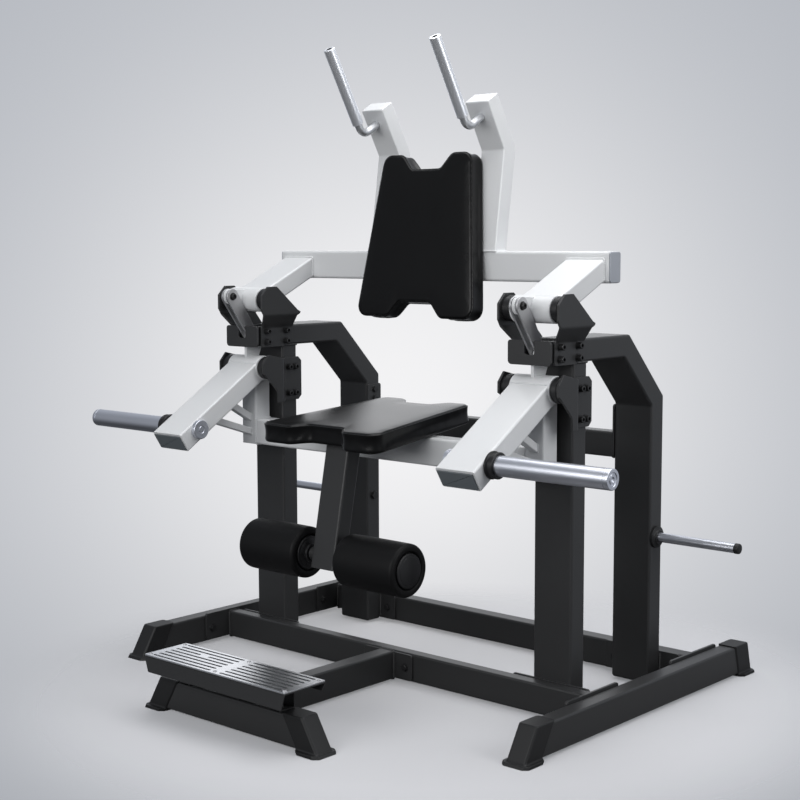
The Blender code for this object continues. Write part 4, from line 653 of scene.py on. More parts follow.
@dataclass(frozen=True)
class Finish:
    """A surface finish and the material slot that it fills."""

    title: str
    slot: str
    colour: Colour
    roughness: float
    metallic: float = 0.0
    specular: float = 0.5

    def toned(self, graph: Graph, mask: Wire, low: float, high: float) -> Wire:
        """The colour, times low where the mask is 0 and times high where it is 1."""
        return graph.mix(mask, opaque(self.colour, low), opaque(self.colour, high))

    def changing(self, graph: Graph) -> dict[str, Any]:
        """The inputs that change over the surface."""
        cloud = graph.noise(graph.place(), 6.0)
        return {"Roughness": self.roughness * (0.94 + 0.12 * cloud)}

    def material(self) -> bpy.types.Material:
        """The finish as a material, made once."""
        found = bpy.data.materials.get(self.title)
        if found:
            return found
        found = bpy.data.materials.new(self.title)
        found.use_nodes = True
        graph = Graph(found.node_tree)
        inputs = {"Base Color": opaque(self.colour), "Metallic": self.metallic,
                  "Specular IOR Level": self.specular, **self.changing(graph)}
        surface = graph.add("ShaderNodeBsdfPrincipled", None, inputs)
        graph.add("ShaderNodeOutputMaterial", None, {"Surface": surface})
        return found


@dataclass(frozen=True)
class Powder(Finish):
    """Powder-coated steel: a fine orange peel, with a cloudy sheen and a little dust in faint pale specks."""

    peel: float = 0.00007
    pitch: float = 650.0
    drift: float = 0.05

    def changing(self, graph: Graph) -> dict[str, Any]:
        """Peel at the pitch, and slow clouds in colour and roughness."""
        at = graph.place()
        cloud = graph.noise(at, 5.0, 3.0)
        fine = graph.noise(at, self.pitch, 2.0)
        speckle = graph.noise(at, self.pitch * 2.3, 1.0).between(0.52, 0.80)
        base = self.toned(graph, cloud, 1 - self.drift, 1 + self.drift)
        return {
            "Base Color": graph.mix(speckle * 0.25, base, opaque(self.colour, 1 + 3 * self.drift)),
            "Roughness": self.roughness * (0.90 + 0.14 * cloud + 0.06 * fine),
            "Normal": graph.bump(fine, self.peel),
        }


@dataclass(frozen=True)
class Plated(Finish):
    """Polished plating, with faint wipe marks."""

    def changing(self, graph: Graph) -> dict[str, Any]:
        """Wipe marks that lift the roughness a little."""
        marks = graph.noise(graph.place(), 9.0, 2.0)
        return {"Roughness": self.roughness * (0.88 + 0.24 * marks)}


@dataclass(frozen=True)
class Brushed(Finish):
    """Metal with fine lines along one axis."""

    along: tuple[float, float, float] = (1.0, 60.0, 60.0)
    depth: float = 0.00002

    def changing(self, graph: Graph) -> dict[str, Any]:
        """Lines that change the roughness, the tone and the normal."""
        lines = graph.noise(graph.place(self.along), 14.0, 5.0, 0.65)
        cloud = graph.noise(graph.place(), 7.0, 3.0)
        return {
            "Base Color": self.toned(graph, lines, 0.93, 1.06),
            "Roughness": self.roughness * (0.75 + 0.30 * lines + 0.20 * cloud),
            "Normal": graph.bump(lines, self.depth),
        }


@dataclass(frozen=True)
class Moulded(Finish):
    """Moulded rubber or plastic with a spark-etched texture."""

    grain: float = 0.00006
    pitch: float = 900.0

    def changing(self, graph: Graph) -> dict[str, Any]:
        """An even fine grain and slow clouds of sheen."""
        at = graph.place()
        fine = graph.noise(at, self.pitch, 3.0)
        cloud = graph.noise(at, 9.0, 3.0)
        return {
            "Base Color": self.toned(graph, cloud, 0.90, 1.12),
            "Roughness": self.roughness * (0.92 + 0.16 * cloud),
            "Normal": graph.bump(fine, self.grain),
        }


@dataclass(frozen=True)
class Vinyl(Finish):
    """Upholstery vinyl: pebbles about 1.3 mm wide with fine creases between them."""

    pebbles: float = 780.0
    depth: float = 0.00004

    def changing(self, graph: Graph) -> dict[str, Any]:
        """Pebbles from cell distances, blurred by noise, and a slow drift in sheen."""
        at = graph.place()
        wander = graph.add("ShaderNodeTexNoise", None, {"Vector": at, "Scale": 300.0, "Detail": 2.0}, "Color")
        shift = graph.add("ShaderNodeVectorMath", {"operation": "MULTIPLY_ADD"},
                          {0: wander, 1: (0.0012, 0.0012, 0.0012), 2: at})
        pebble = graph.cells(shift, self.pebbles, "SMOOTH_F1")
        cloud = graph.noise(at, 8.0, 3.0)
        return {
            "Base Color": self.toned(graph, cloud, 0.88, 1.15),
            "Roughness": self.roughness * (0.90 + 0.16 * cloud + 0.10 * pebble),
            "Normal": graph.bump(1 - pebble, self.depth),
        }


@dataclass(frozen=True)
class Foam(Finish):
    """Skinned foam: open pores in a matt skin."""

    def changing(self, graph: Graph) -> dict[str, Any]:
        """Pores as small pits, over a slow drift in tone."""
        at = graph.place()
        pores = graph.cells(at, 1400.0).between(0.0, 0.35)
        lump = graph.noise(at, 60.0, 4.0)
        return {
            "Base Color": self.toned(graph, lump, 0.85, 1.25),
            "Roughness": self.roughness * (0.9 + 0.2 * lump),
            "Normal": graph.bump(pores * 0.4 + lump * 0.6, 0.00015),
        }


CHARCOAL = Powder("charcoal powder coat", "charcoal_paint", (0.029, 0.0294, 0.0303), 0.40, specular=0.4)
WHITE = Powder("silver white powder coat", "white_paint", (0.70, 0.71, 0.72), 0.30, peel=0.00003, drift=0.015)
CHROME = Plated("satin chrome", "chrome", (0.70, 0.72, 0.78), 0.35, 1.0)
STEEL = Brushed("satin steel", "steel", (0.50, 0.50, 0.51), 0.45, 0.85)
PIN_STEEL = Brushed("dark bolt steel", "steel", (0.030, 0.030, 0.031), 0.36, 0.5)
GRIP = Plated("brushed grip chrome", "chrome", (0.84, 0.86, 0.90), 0.34, 0.78)
SATIN = Plated("satin rod chrome", "chrome", (0.66, 0.67, 0.69), 0.38, 0.9)
TREAD = Brushed("satin aluminium tread", "aluminium", (0.72, 0.73, 0.75), 0.30, 1.0)
RUBBER = Moulded("matt rubber", "rubber", (0.011, 0.0112, 0.0118), 0.50, specular=0.35)
BEARING = Moulded("black bearing cover", "rubber", (0.010, 0.010, 0.0108), 0.38, specular=0.4)
SLATE = Moulded("slate plastic", "slate_plastic", (0.115, 0.131, 0.142), 0.45)
GREY = Moulded("grey plastic", "grey_plastic", (0.33, 0.35, 0.39), 0.42)
VINYL = Vinyl("upholstery vinyl", "vinyl", (0.0040, 0.0040, 0.0042), 0.28, specular=0.21)
FOAM = Foam("skinned foam", "foam", (0.0042, 0.0042, 0.0045), 0.52, specular=0.16)


def present(form: Union[Form, bpy.types.Mesh], name: str, finish: Finish, body: Union[Rides, str],
            *nodes: str, side: Optional[Side] = None) -> bpy.types.Object:
    """Puts a form in the scene as a finished piece.

    Args:
        form: its surfaces, or a mesh that faces outwards, in the machine's frame.
        name: the piece's name, without the side's word.
        finish: its surface.
        body: the body that carries it.
        nodes: the plain solids that it stands for, without the side's word.
        side: its word is added to all these names.

    Returns:
        The piece.
    """
    ending = f"_{side.word}" if side else ""
    mesh = form.mesh(name + ending) if isinstance(form, Form) else form
    mesh.shade_smooth()
    mesh.set_sharp_from_angle(angle=SHARP_ANGLE)
    piece = added(name + ending, mesh)
    mesh.materials.clear()
    mesh.materials.append(finish.material())
    modifier(piece, "WEIGHTED_NORMAL", keep_sharp=True)
    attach(piece, body.value if isinstance(body, Rides) else body)
    if nodes:
        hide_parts(*(node + ending for node in nodes))
    return piece


@dataclass(frozen=True)
class Hardware:
    """The bolts and weld beads that all pieces share."""

    head: float = 0.0085
    height: float = 0.008
    bead: float = 0.0032

    def bolt(self, form: Form, seat: Basis) -> None:
        """Adds a bolt's head that stands on a face."""
        form.hexagon(seat, self.head, self.height)


@dataclass(frozen=True)
class Assembly:
    """A sub-assembly, with the sizes and the hardware that it shares with the others."""

    plan: Plan = Plan()
    hardware: Hardware = Hardware()


@dataclass(frozen=True)
class FootCap:
    """A rubber cap over the end of a floor tube: a slanted box over a flared, cut-cornered flange."""

    side_wall: float = 0.0035
    length: float = 0.073
    crown: float = 0.003
    corner: float = 0.009
    flange: float = 0.008
    flange_side: float = 0.012
    flange_reach: float = 0.006
    flange_cut: float = 0.012
    flare_height: float = 0.006
    flare_width: float = 0.003
    top: float = 0.0905

    def levels(self) -> Array:
        """Rows of height, growth at the sides, growth at the end, and corner cut, from the floor up."""
        turn = np.linspace(0.0, math.pi / 2, 4)
        rise, draw = 1 - np.cos(turn), 1 - np.sin(turn)
        rim, zero = 0.0012, np.zeros(4)
        height = [rim * rise, self.flange - rim * rise[::-1], self.flange + self.flare_height * rise,
                  self.top - self.crown * draw]
        grown = [-rim * draw, -rim * draw[::-1], self.flare_width * draw, -self.crown * rise]
        side = [self.flange_side + grown[0], self.flange_side + grown[1], grown[2], grown[3]]
        reach = [self.flange_reach + grown[0], self.flange_reach + grown[1], grown[2], grown[3]]
        cut = [zero + self.flange_cut, zero + self.flange_cut, zero + self.corner / 2, zero + self.corner / 2]
        return np.stack([np.concatenate(part) for part in (height, side, reach, cut)], axis=1)

    def form(self, middle: Sequence[float], way: Array, slope: float, width: float) -> Form:
        """The cap, whose end leans out by slope for each unit that it goes down.

        Args:
            middle: (x, y) of the tube's line at the cap's tip.
            way: the outward direction.
            slope: outward travel for each unit of drop.
            width: of the tube.

        Returns:
            The form.
        """
        basis = Basis(np.array((*middle, 0.0)), np.cross(way, Z), way, Z)
        half = width / 2 + self.side_wall
        rings = []
        for level, side, reach, cut in self.levels():
            shift = slope * (self.top - level)
            ring = cut_box(half + side, shift - self.length, shift + reach, cut, self.corner * 0.5)
            rings.append(basis.lift(ring, level))
        return Form().grid(np.stack(rings))


def cut_box(half: float, low: float, high: float, cut: float, radius: float) -> Array:
    """A box outline from -half to half and from low to high, with its corners cut and rounded."""
    corners = [(-half, low + cut), (-half + cut, low), (half - cut, low), (half, low + cut),
               (half, high - cut), (half - cut, high), (-half + cut, high), (-half, high - cut)]
    return rounded(corners, radius, 3)


@dataclass(frozen=True)
class FloorRails(Assembly):
    """The two floor rails, with their four rubber feet."""

    cap: FootCap = FootCap()
    front_tip: float = -0.331
    rear_tip: float = 0.671
    front_slope: float = 0.60
    rear_slope: float = 0.265
    wall: float = 0.008

    def build(self, side: Side) -> None:
        """One rail and its feet."""
        plan, x = self.plan, side.value * self.plan.rail_spread
        fall = self.cap.top - plan.base_middle
        front = self.front_tip + self.wall - self.front_slope * fall
        rear = self.rear_tip - self.wall + self.rear_slope * fall
        basis = along_y(x, 0.0, plan.base_middle)
        loop = centred(plan.rail_width, plan.base_height, plan.tube_round)
        rail = Form().slab(basis, loop, front, rear, SOFT, (self.front_slope, -self.rear_slope))
        present(rail, "floor_rail", CHARCOAL, Rides.BASE, "side_rail", side=side)
        ends = (("front", self.front_tip, -Y, self.front_slope), ("rear", self.rear_tip, Y, self.rear_slope))
        for word, tip, way, slope in ends:
            foot = self.cap.form((x, tip), way, slope, plan.rail_width)
            name = f"rail_foot_{word}_{side.word}"
            present(foot, f"rubber_{name}", RUBBER, Rides.BASE, name)


@dataclass(frozen=True, kw_only=True)
class CrossMember(Assembly):
    """A tube between the rails, with a bolted plate at each end."""

    title: str
    front: float
    rear: float
    thickness: float = 0.008
    reach: float = 0.094
    plate_bottom: float = 0.014
    plate_top: float = 0.094
    bolt_inset: float = 0.024
    rail_inner: float = 0.676

    def build(self) -> None:
        """The tube, its plates, welds and bolts."""
        plan, outer = self.plan, self.rail_inner - self.plan.gap
        inner = outer - self.thickness
        tube = box_loop(self.front, self.rear, plan.base_lift, plan.base_top, plan.tube_round)
        low, high = self.front - self.reach, self.rear + self.reach
        plate = box_loop(low, high, self.plate_bottom, self.plate_top, PLATE_CORNER)
        frame_form, bolts = Form().slab(along_x(), tube, -inner, inner), Form()
        for side in Side:
            basis = along_x(sense=side.value)
            frame_form.slab(basis, plate, inner, outer)
            frame_form.weld(basis, tube, inner - WELD_LIFT, self.hardware.bead)
            for y in (low + self.bolt_inset, high - self.bolt_inset):
                seat = along_x(side.value * inner, y, plan.base_middle, -side.value)
                self.hardware.bolt(bolts, seat)
        present(frame_form.mesh(self.title), f"{self.title}_tube", CHARCOAL, Rides.BASE, self.title)
        present(bolts, f"{self.title}_bolts", PIN_STEEL, Rides.BASE)


@dataclass(frozen=True)
class Step(Assembly):
    """The step: its bar, the beam back to the frame, the slotted tread and the folded tray under it."""

    cap: FootCap = FootCap()
    bar_y: float = -0.621
    bar_depth: float = 0.050
    bar_tip: float = 0.265
    slope: float = 0.60
    beam_width: float = 0.050
    flange_width: float = 0.180
    flange_thickness: float = 0.006
    flange_margin: float = 0.003
    flange_bolt: float = 0.065
    tread_width: float = 0.520
    tread_front: float = -0.701
    tread_rear: float = -0.561
    tread_bottom: float = 0.159
    tread_top: float = 0.163
    tread_corner: float = 0.004
    screw_radius: float = 0.0042
    screw_height: float = 0.0018
    cut_margin: float = 0.002
    slot_rows: int = 7
    slot_width: float = 0.008
    slot_margin_x: float = 0.022
    slot_margin_y: float = 0.0125
    slot_bridge: float = 0.034
    bare_pad: float = 0.030
    bare_rows: tuple[int, ...] = (4,)
    sheet: float = 0.003
    skirt: float = 0.042
    rear_skirt: float = 0.024
    end_slant: float = 0.012
    window_height: float = 0.014
    window_width: float = 0.110
    riser_reach: float = 0.188
    riser_soft: float = 0.0006

    def build(self) -> None:
        """Every piece of the step."""
        self.frame()
        self.tread()
        self.tray()
        for side in Side:
            foot = self.cap.form((side.value * self.bar_tip, self.bar_y), side.value * X, self.slope,
                                 self.bar_depth)
            name = f"step_foot_{side.word}"
            present(foot, f"rubber_{name}", RUBBER, Rides.BASE, name)

    def frame(self) -> None:
        """The bar, the beam and its bolted flange."""
        plan = self.plan
        tip = self.bar_tip - 0.008 + self.slope * (self.cap.top - plan.base_middle)
        section = centred(self.bar_depth, plan.base_height, plan.tube_round)
        form = Form().slab(along_x(0.0, self.bar_y, plan.base_middle), section, -tip, tip, SOFT,
                           (self.slope, -self.slope))
        rear = plan.front_member[0] - plan.gap
        start = rear - self.flange_thickness
        form.slab(along_y(0.0, 0.0, plan.base_middle), section, self.bar_y, start)
        half = self.flange_width / 2
        flange = box_loop(-half, half, plan.base_lift + self.flange_margin,
                          plan.base_top - self.flange_margin, PLATE_CORNER)
        form.slab(along_y(), flange, start, rear)
        middle = along_y(0.0, 0.0, plan.base_middle)
        beam = centred(self.beam_width, plan.base_height * 0.99, 0.004)
        form.weld(middle, section, start - WELD_LIFT, self.hardware.bead)
        form.weld(middle, beam, self.bar_y + self.bar_depth / 2 + WELD_LIFT, self.hardware.bead)
        present(form, "step_bar_and_beam", CHARCOAL, Rides.BASE, "step_frame")
        bolts = Form()
        for side in Side:
            seat = along_y(side.value * self.flange_bolt, start, plan.base_middle, -1)
            self.hardware.bolt(bolts, seat)
        present(bolts, "step_bolts", PIN_STEEL, Rides.BASE)

    def slots(self) -> list[tuple[float, float, float]]:
        """Start, end and y of each slot."""
        pitch = (self.tread_rear - self.tread_front - 2 * self.slot_margin_y) / (self.slot_rows - 1)
        inner, outer = self.slot_bridge / 2, self.tread_width / 2 - self.slot_margin_x
        middle = (inner + outer) / 2
        found = []
        for row in range(self.slot_rows):
            y = self.tread_front + self.slot_margin_y + row * pitch
            found.append((inner, outer, y))
            runs = [(inner, outer)]
            if row in self.bare_rows:
                runs = [(inner, middle - self.bare_pad / 2), (middle + self.bare_pad / 2, outer)]
            found += [(-high, -low, y) for low, high in runs]
        return found

    def edge(self) -> Array:
        """The outline that the tread and the sheet under it share."""
        half = self.tread_width / 2
        return box_loop(-half, half, self.tread_front, self.tread_rear, self.tread_corner)

    def tread(self) -> None:
        """The aluminium tread with its slots cut through, and its screws."""
        plate = Form().slab(along_z(), self.edge(), self.tread_bottom, self.tread_top, SHEET_SOFT)
        cutter = Form()
        for low, high, y in self.slots():
            radius = self.slot_width / 2
            slot = box_loop(low, high, y - radius, y + radius, radius)
            cutter.slab(along_z(), slot, self.tread_bottom - self.cut_margin,
                        self.tread_top + self.cut_margin, 0.0002)
        present(carve(plate, cutter), "slotted_tread", TREAD, Rides.BASE, "footplate")
        screws = Form()
        reach = self.tread_width / 2 - self.slot_margin_x / 2
        for x in (-reach, 0.0, reach):
            for y in (self.tread_front + self.slot_margin_y, self.tread_rear - self.slot_margin_y):
                screws.socket(along_z(x, y, self.tread_top), self.screw_radius, self.screw_height)
        present(screws, "tread_screws", STEEL, Rides.BASE)

    def tray(self) -> None:
        """The folded sheet under the tread: skirts with slanted ends, and risers with low windows."""
        top = self.tread_bottom - self.plan.gap
        half = self.tread_width / 2
        form = Form().slab(along_z(), self.edge(), top - self.sheet, top, SHEET_SOFT)
        slant = half - self.end_slant
        skirts = ((self.tread_front, self.skirt), (self.tread_rear - self.sheet, self.rear_skirt))
        for start, drop in skirts:
            outline = [(-slant, top - drop), (slant, top - drop), (half, top - self.sheet),
                       (half, top - 0.001), (-half, top - 0.001), (-half, top - self.sheet)]
            form.slab(along_y(), rounded(outline, 0.003), start, start + self.sheet, SHEET_SOFT)
        bottom = self.plan.base_top + self.plan.gap
        reach, window = self.riser_reach, self.window_width / 2
        rise = bottom + self.window_height
        outline = [(-reach, bottom), (-reach / 2 - window, bottom), (-reach / 2 - window, rise),
                   (-reach / 2 + window, rise), (-reach / 2 + window, bottom), (reach / 2 - window, bottom),
                   (reach / 2 - window, rise), (reach / 2 + window, rise), (reach / 2 + window, bottom),
                   (reach, bottom), (reach, top - 0.001), (-reach, top - 0.001)]
        for sense in (-1, 1):
            face = self.bar_y + sense * (self.bar_depth / 2 - self.sheet)
            low, high = sorted((face, face + sense * self.sheet))
            form.slab(along_y(), rounded(outline, 0.0015, 2), low, high, self.riser_soft)
        depth = self.bar_depth / 2
        for low, high in ((-reach, -reach / 2 - window), (-reach / 2 + window, reach / 2 - window),
                          (reach / 2 + window, reach)):
            foot = box_loop(low, high, self.bar_y - depth, self.bar_y + depth, 0.002)
            form.slab(along_z(), foot, bottom, bottom + self.sheet, self.riser_soft)
        present(form, "tread_tray", CHARCOAL, Rides.BASE, "footplate_tray")


@dataclass(frozen=True)
class Post(Assembly):
    """A front post and the arch behind it, with their bolted foot plates and the storage peg."""

    bend_inset: float = 0.170
    bend_drop: float = 0.1735
    front_plate: float = 0.006
    rear_plate: float = 0.008
    plate_overhang: float = 0.062
    plate_bottom: float = 0.010
    plate_top: float = 0.089
    bolt_overhang: float = 0.030
    corner: float = 0.007
    peg_z: float = 0.416
    peg_radius: float = 0.013
    peg_reach: float = 0.258
    peg_cap: float = 0.014
    peg_collar: float = 0.030
    peg_collar_length: float = 0.013

    def build(self, side: Side) -> None:
        """The post, arch, peg and bolts of one side."""
        plan, centre = self.plan, side.value * self.plan.post_spread
        half = plan.post_half
        bolts = Form()
        section = box_loop(centre - half, centre + half, plan.post_front, plan.post_rear, self.corner)
        post = Form().slab(along_z(), section, plan.base_lift, plan.arch_under - plan.gap, SOFT)
        self.foot_plate(post, bolts, centre, plan.post_front - self.front_plate, plan.post_front, 1)
        present(post, "front_post_tube", CHARCOAL, Rides.BASE, "front_post", side=side)
        arch = Form().slab(along_x(centre), self.arch_line(), -half, half, self.corner)
        self.foot_plate(arch, bolts, centre, plan.rear_post_rear, plan.rear_post_rear + self.rear_plate, -1)
        arch.weld(along_z(), shrunk(section, -0.001), plan.arch_under, self.hardware.bead)
        present(arch, "arch_tube", CHARCOAL, Rides.BASE, "arch", side=side)
        middle = (plan.rear_post_front + plan.rear_post_rear) / 2
        seat = along_x(centre - side.value * half, middle, self.peg_z, -side.value)
        bolts.hexagon(seat, self.peg_radius * 0.85, 0.009)
        present(bolts, "post_bolts", PIN_STEEL, Rides.BASE, side=side)
        self.peg(side, along_x(centre + side.value * (half + plan.gap), middle, self.peg_z, side.value))

    def arch_line(self) -> Array:
        """The arch from the side: a beam, a slanted corner and the rear post."""
        plan = self.plan
        bend = plan.rear_post_rear - self.bend_inset
        shift = (plan.arch_top - plan.arch_under) * math.tan(math.pi / 8)
        shoulder = plan.arch_top - self.bend_drop
        corners = [(plan.post_front, plan.arch_under), (bend - shift, plan.arch_under),
                   (plan.rear_post_front, shoulder - shift), (plan.rear_post_front, plan.base_lift),
                   (plan.rear_post_rear, plan.base_lift), (plan.rear_post_rear, shoulder),
                   (bend, plan.arch_top), (plan.post_front, plan.arch_top)]
        return rounded(corners, (0.008, 0.012, 0.012, 0.008, 0.008, 0.012, 0.012, 0.008))

    def foot_plate(self, form: Form, bolts: Form, centre: float, front: float, rear: float,
                   sense: int) -> None:
        """The plate across the foot of a post, welded on and bolted to the cross member."""
        half = self.plan.post_half
        reach = half + self.plate_overhang
        loop = box_loop(centre - reach, centre + reach, self.plate_bottom, self.plate_top, PLATE_CORNER)
        form.slab(along_y(), loop, front, rear)
        face = rear if sense > 0 else front
        for offset in (-half - self.bolt_overhang, half + self.bolt_overhang):
            seat = along_y(centre + offset, face, self.plan.base_middle, sense)
            self.hardware.bolt(bolts, seat)
        for offset in (-half - WELD_LIFT, half + WELD_LIFT):
            run = box_loop(-0.0005, 0.0005, self.plate_bottom + 0.004, self.plate_top - 0.004, 0.0004)
            form.weld(Basis(np.array((centre + offset, 0.0, 0.0)), X, Z, Y), run, face, self.hardware.bead)

    def peg(self, side: Side, basis: Basis) -> None:
        """A bare chrome peg with a black end cap, in a stepped collar."""
        radius, end = self.peg_radius, self.peg_reach
        body = end - self.peg_cap
        present(Form().lathe(basis, [(0.0, radius), (body + 0.002, radius)]), "storage_peg_bar", CHROME,
                Rides.BASE, "storage_peg", side=side)
        rim = radius + 0.001
        cap = [(body, radius - 0.002), (body, rim - 0.0006), (body + 0.0006, rim), (end - 0.004, rim),
               (end - 0.0015, rim - 0.001), (end - 0.0004, rim - 0.0035), (end, rim - 0.007), (end, 0.001)]
        present(Form().lathe(basis, cap), "storage_peg_cap", RUBBER, Rides.BASE, side=side)
        rim, length = self.peg_collar, self.peg_collar_length
        collar = [(0.0, radius + 0.0003), (0.0, rim - 0.001), (0.001, rim), (length * 0.45, rim),
                  (length * 0.45 + 0.001, rim - 0.001), (length * 0.6, rim - 0.006),
                  (length * 0.75, rim - 0.009), (length - 0.001, rim - 0.010), (length, rim - 0.011),
                  (length, radius + 0.0003)]
        present(Form().lathe(basis, collar, ring=True), "storage_collar_ring", RUBBER, Rides.BASE,
                "storage_collar", side=side)


@dataclass(frozen=True)
class RearBeam(Assembly):
    """The beam between the rear posts, on tall bolted plates."""

    bottom: float = 0.627
    height: float = 0.071
    depth: float = 0.050
    plate_rise: float = 0.078
    thickness: float = 0.006
    bolt_drop: float = 0.018
    bolt_pitch: float = 0.030

    def build(self) -> None:
        """The beam, plates, welds and bolts."""
        plan = self.plan
        outer = plan.post_spread - plan.post_half - plan.gap
        inner = outer - self.thickness
        middle = (plan.rear_post_front + plan.rear_post_rear) / 2
        top = self.bottom + self.height
        loop = box_loop(middle - self.depth / 2, middle + self.depth / 2, self.bottom, top, plan.tube_round)
        form, bolts = Form().slab(along_x(), loop, -inner, inner), Form()
        plate_top = top + self.plate_rise
        plate = box_loop(plan.rear_post_front, plan.rear_post_rear, self.bottom, plate_top, PLATE_CORNER)
        for side in Side:
            basis = along_x(sense=side.value)
            form.slab(basis, plate, inner, outer)
            form.weld(basis, loop, inner - WELD_LIFT, self.hardware.bead)
            for row in range(2):
                level = plate_top - self.bolt_drop - row * self.bolt_pitch
                seat = along_x(side.value * inner, middle, level, -side.value)
                self.hardware.bolt(bolts, seat)
        present(form, "rear_beam_tube", CHARCOAL, Rides.BASE, "rear_beam")
        present(bolts, "rear_beam_bolts", PIN_STEEL, Rides.BASE)


@dataclass(frozen=True)
class Yoke(Assembly):
    """The folded bracket on an arch end: a slotted box and two slanted wings that rise into ears."""

    front_reach: float = 0.1065
    rear_reach: float = 0.036
    rear_chamfer: float = 0.034
    box_height: float = 0.062
    sheet: float = 0.007
    slot_width: float = 0.030
    slot_depth: float = 0.036
    fold_rise: float = 0.037
    ear_front: float = 0.040
    ear_rear: float = 0.118
    ear_shoulder: float = 0.022
    ear_rise: float = 0.039
    ear_chamfer: float = 0.026
    low_chamfer: float = 0.012
    bolt_inset: float = 0.038
    bolt_pitch_y: float = 0.077
    bolt_pitch_z: float = 0.031
    bolt_radius: float = 0.0085
    bolt_height: float = 0.014
    box_gap: float = 0.009
    wall_inset: float = 0.008

    def build(self, side: Side) -> None:
        """The bracket and its socket screws."""
        plan, centre = self.plan, side.value * self.plan.post_spread
        front = plan.post_front - self.front_reach
        bottom, top = plan.arch_top - self.box_height, plan.arch_top
        form, bolts = Form(), Form()
        reach, slot = plan.post_half + plan.gap + self.sheet, self.slot_width / 2
        base = top - self.slot_depth
        corners = [(-reach, bottom), (reach, bottom), (reach, top), (slot, top), (slot, base), (-slot, base),
                   (-slot, top), (-reach, top)]
        face = rounded(corners, (0.011, 0.011, 0.008, 0.003, 0.006, 0.006, 0.003, 0.008))
        form.slab(along_y(centre), face, front, front + self.sheet, 0.0015)
        for sense in (-1, 1):
            low, high = sorted((sense * 0.040, sense * (plan.post_half - self.wall_inset)))
            wall = box_loop(low, high, bottom + 0.003, top - 0.002, 0.004)
            form.slab(along_y(centre), wall, front + self.sheet - 0.001, plan.post_front, SOFT)
        for sense in (-1, 1):
            self.flank(form, centre, sense, front, bottom)
            for y in (front + self.bolt_inset, front + self.bolt_inset + self.bolt_pitch_y):
                for rise in (-self.bolt_pitch_z / 2, self.bolt_pitch_z / 2):
                    seat = along_x(centre + sense * reach, y, top - self.box_height / 2 - rise, sense)
                    bolts.socket(seat, self.bolt_radius, self.bolt_height)
        present(form, "yoke_plates", CHARCOAL, Rides.BASE, "upper_yoke", side=side)
        present(bolts, "yoke_screws", PIN_STEEL, Rides.BASE, side=side)

    def flank(self, form: Form, centre: float, sense: int, front: float, bottom: float) -> None:
        """One side: flat on the beam, then out along the wing and up along the ear."""
        plan = self.plan
        low_x = plan.post_half + plan.gap + self.sheet / 2
        high_x = plan.ear_inner + plan.ear_sheet / 2
        fold, crown = plan.arch_top + self.fold_rise, plan.upper_z + self.ear_rise
        corners = [(low_x, bottom), (low_x, plan.arch_top - 0.004), (high_x, fold - 0.004), (high_x, crown)]
        line = resample(rounded(corners, 0.012, closed=False), 0.0015)
        path = np.stack([centre + sense * line[:, 0], np.zeros(len(line)), line[:, 1]], axis=1)
        tip, rear = plan.pivot_y - self.ear_front, plan.post_front + self.rear_reach
        flat, soft = front + self.sheet + self.box_gap, 0.008
        levels = [bottom, bottom + soft * 0.3, bottom + soft, plan.arch_top - soft, plan.arch_top, fold,
                  fold + self.low_chamfer, crown - self.ear_chamfer, crown]
        edges = [flat + soft, flat + soft * 0.3, flat, flat, flat + soft * 0.5, front, tip, tip,
                 tip + self.ear_chamfer]
        low = np.interp(line[:, 1], levels, edges)
        far = plan.pivot_y + self.ear_rear
        levels = [bottom, bottom + self.rear_chamfer / 2, plan.arch_top, fold - 0.006, fold - 0.002,
                  fold + 0.003, fold + 0.008, crown]
        edges = [rear - self.rear_chamfer, rear, rear, far - self.low_chamfer, far - 0.002, far, far - 0.011,
                 plan.pivot_y + self.ear_shoulder]
        form.ribbon(path, Y, low, np.interp(line[:, 1], levels, edges), self.sheet)


def resample(line: Array, step: float) -> Array:
    """The open line with points about a step apart, its own corners among them."""
    gaps, run = np.linalg.norm(np.diff(line, axis=0), axis=1), run_along(line)
    counts = np.maximum(np.ceil(gaps / step).astype(int), 1)
    order = np.arange(counts.sum()) - np.repeat(np.cumsum(counts) - counts, counts)
    length = np.repeat(run[:-1], counts) + order * np.repeat(gaps / counts, counts)
    return at_lengths(line, np.append(length, run[-1]))


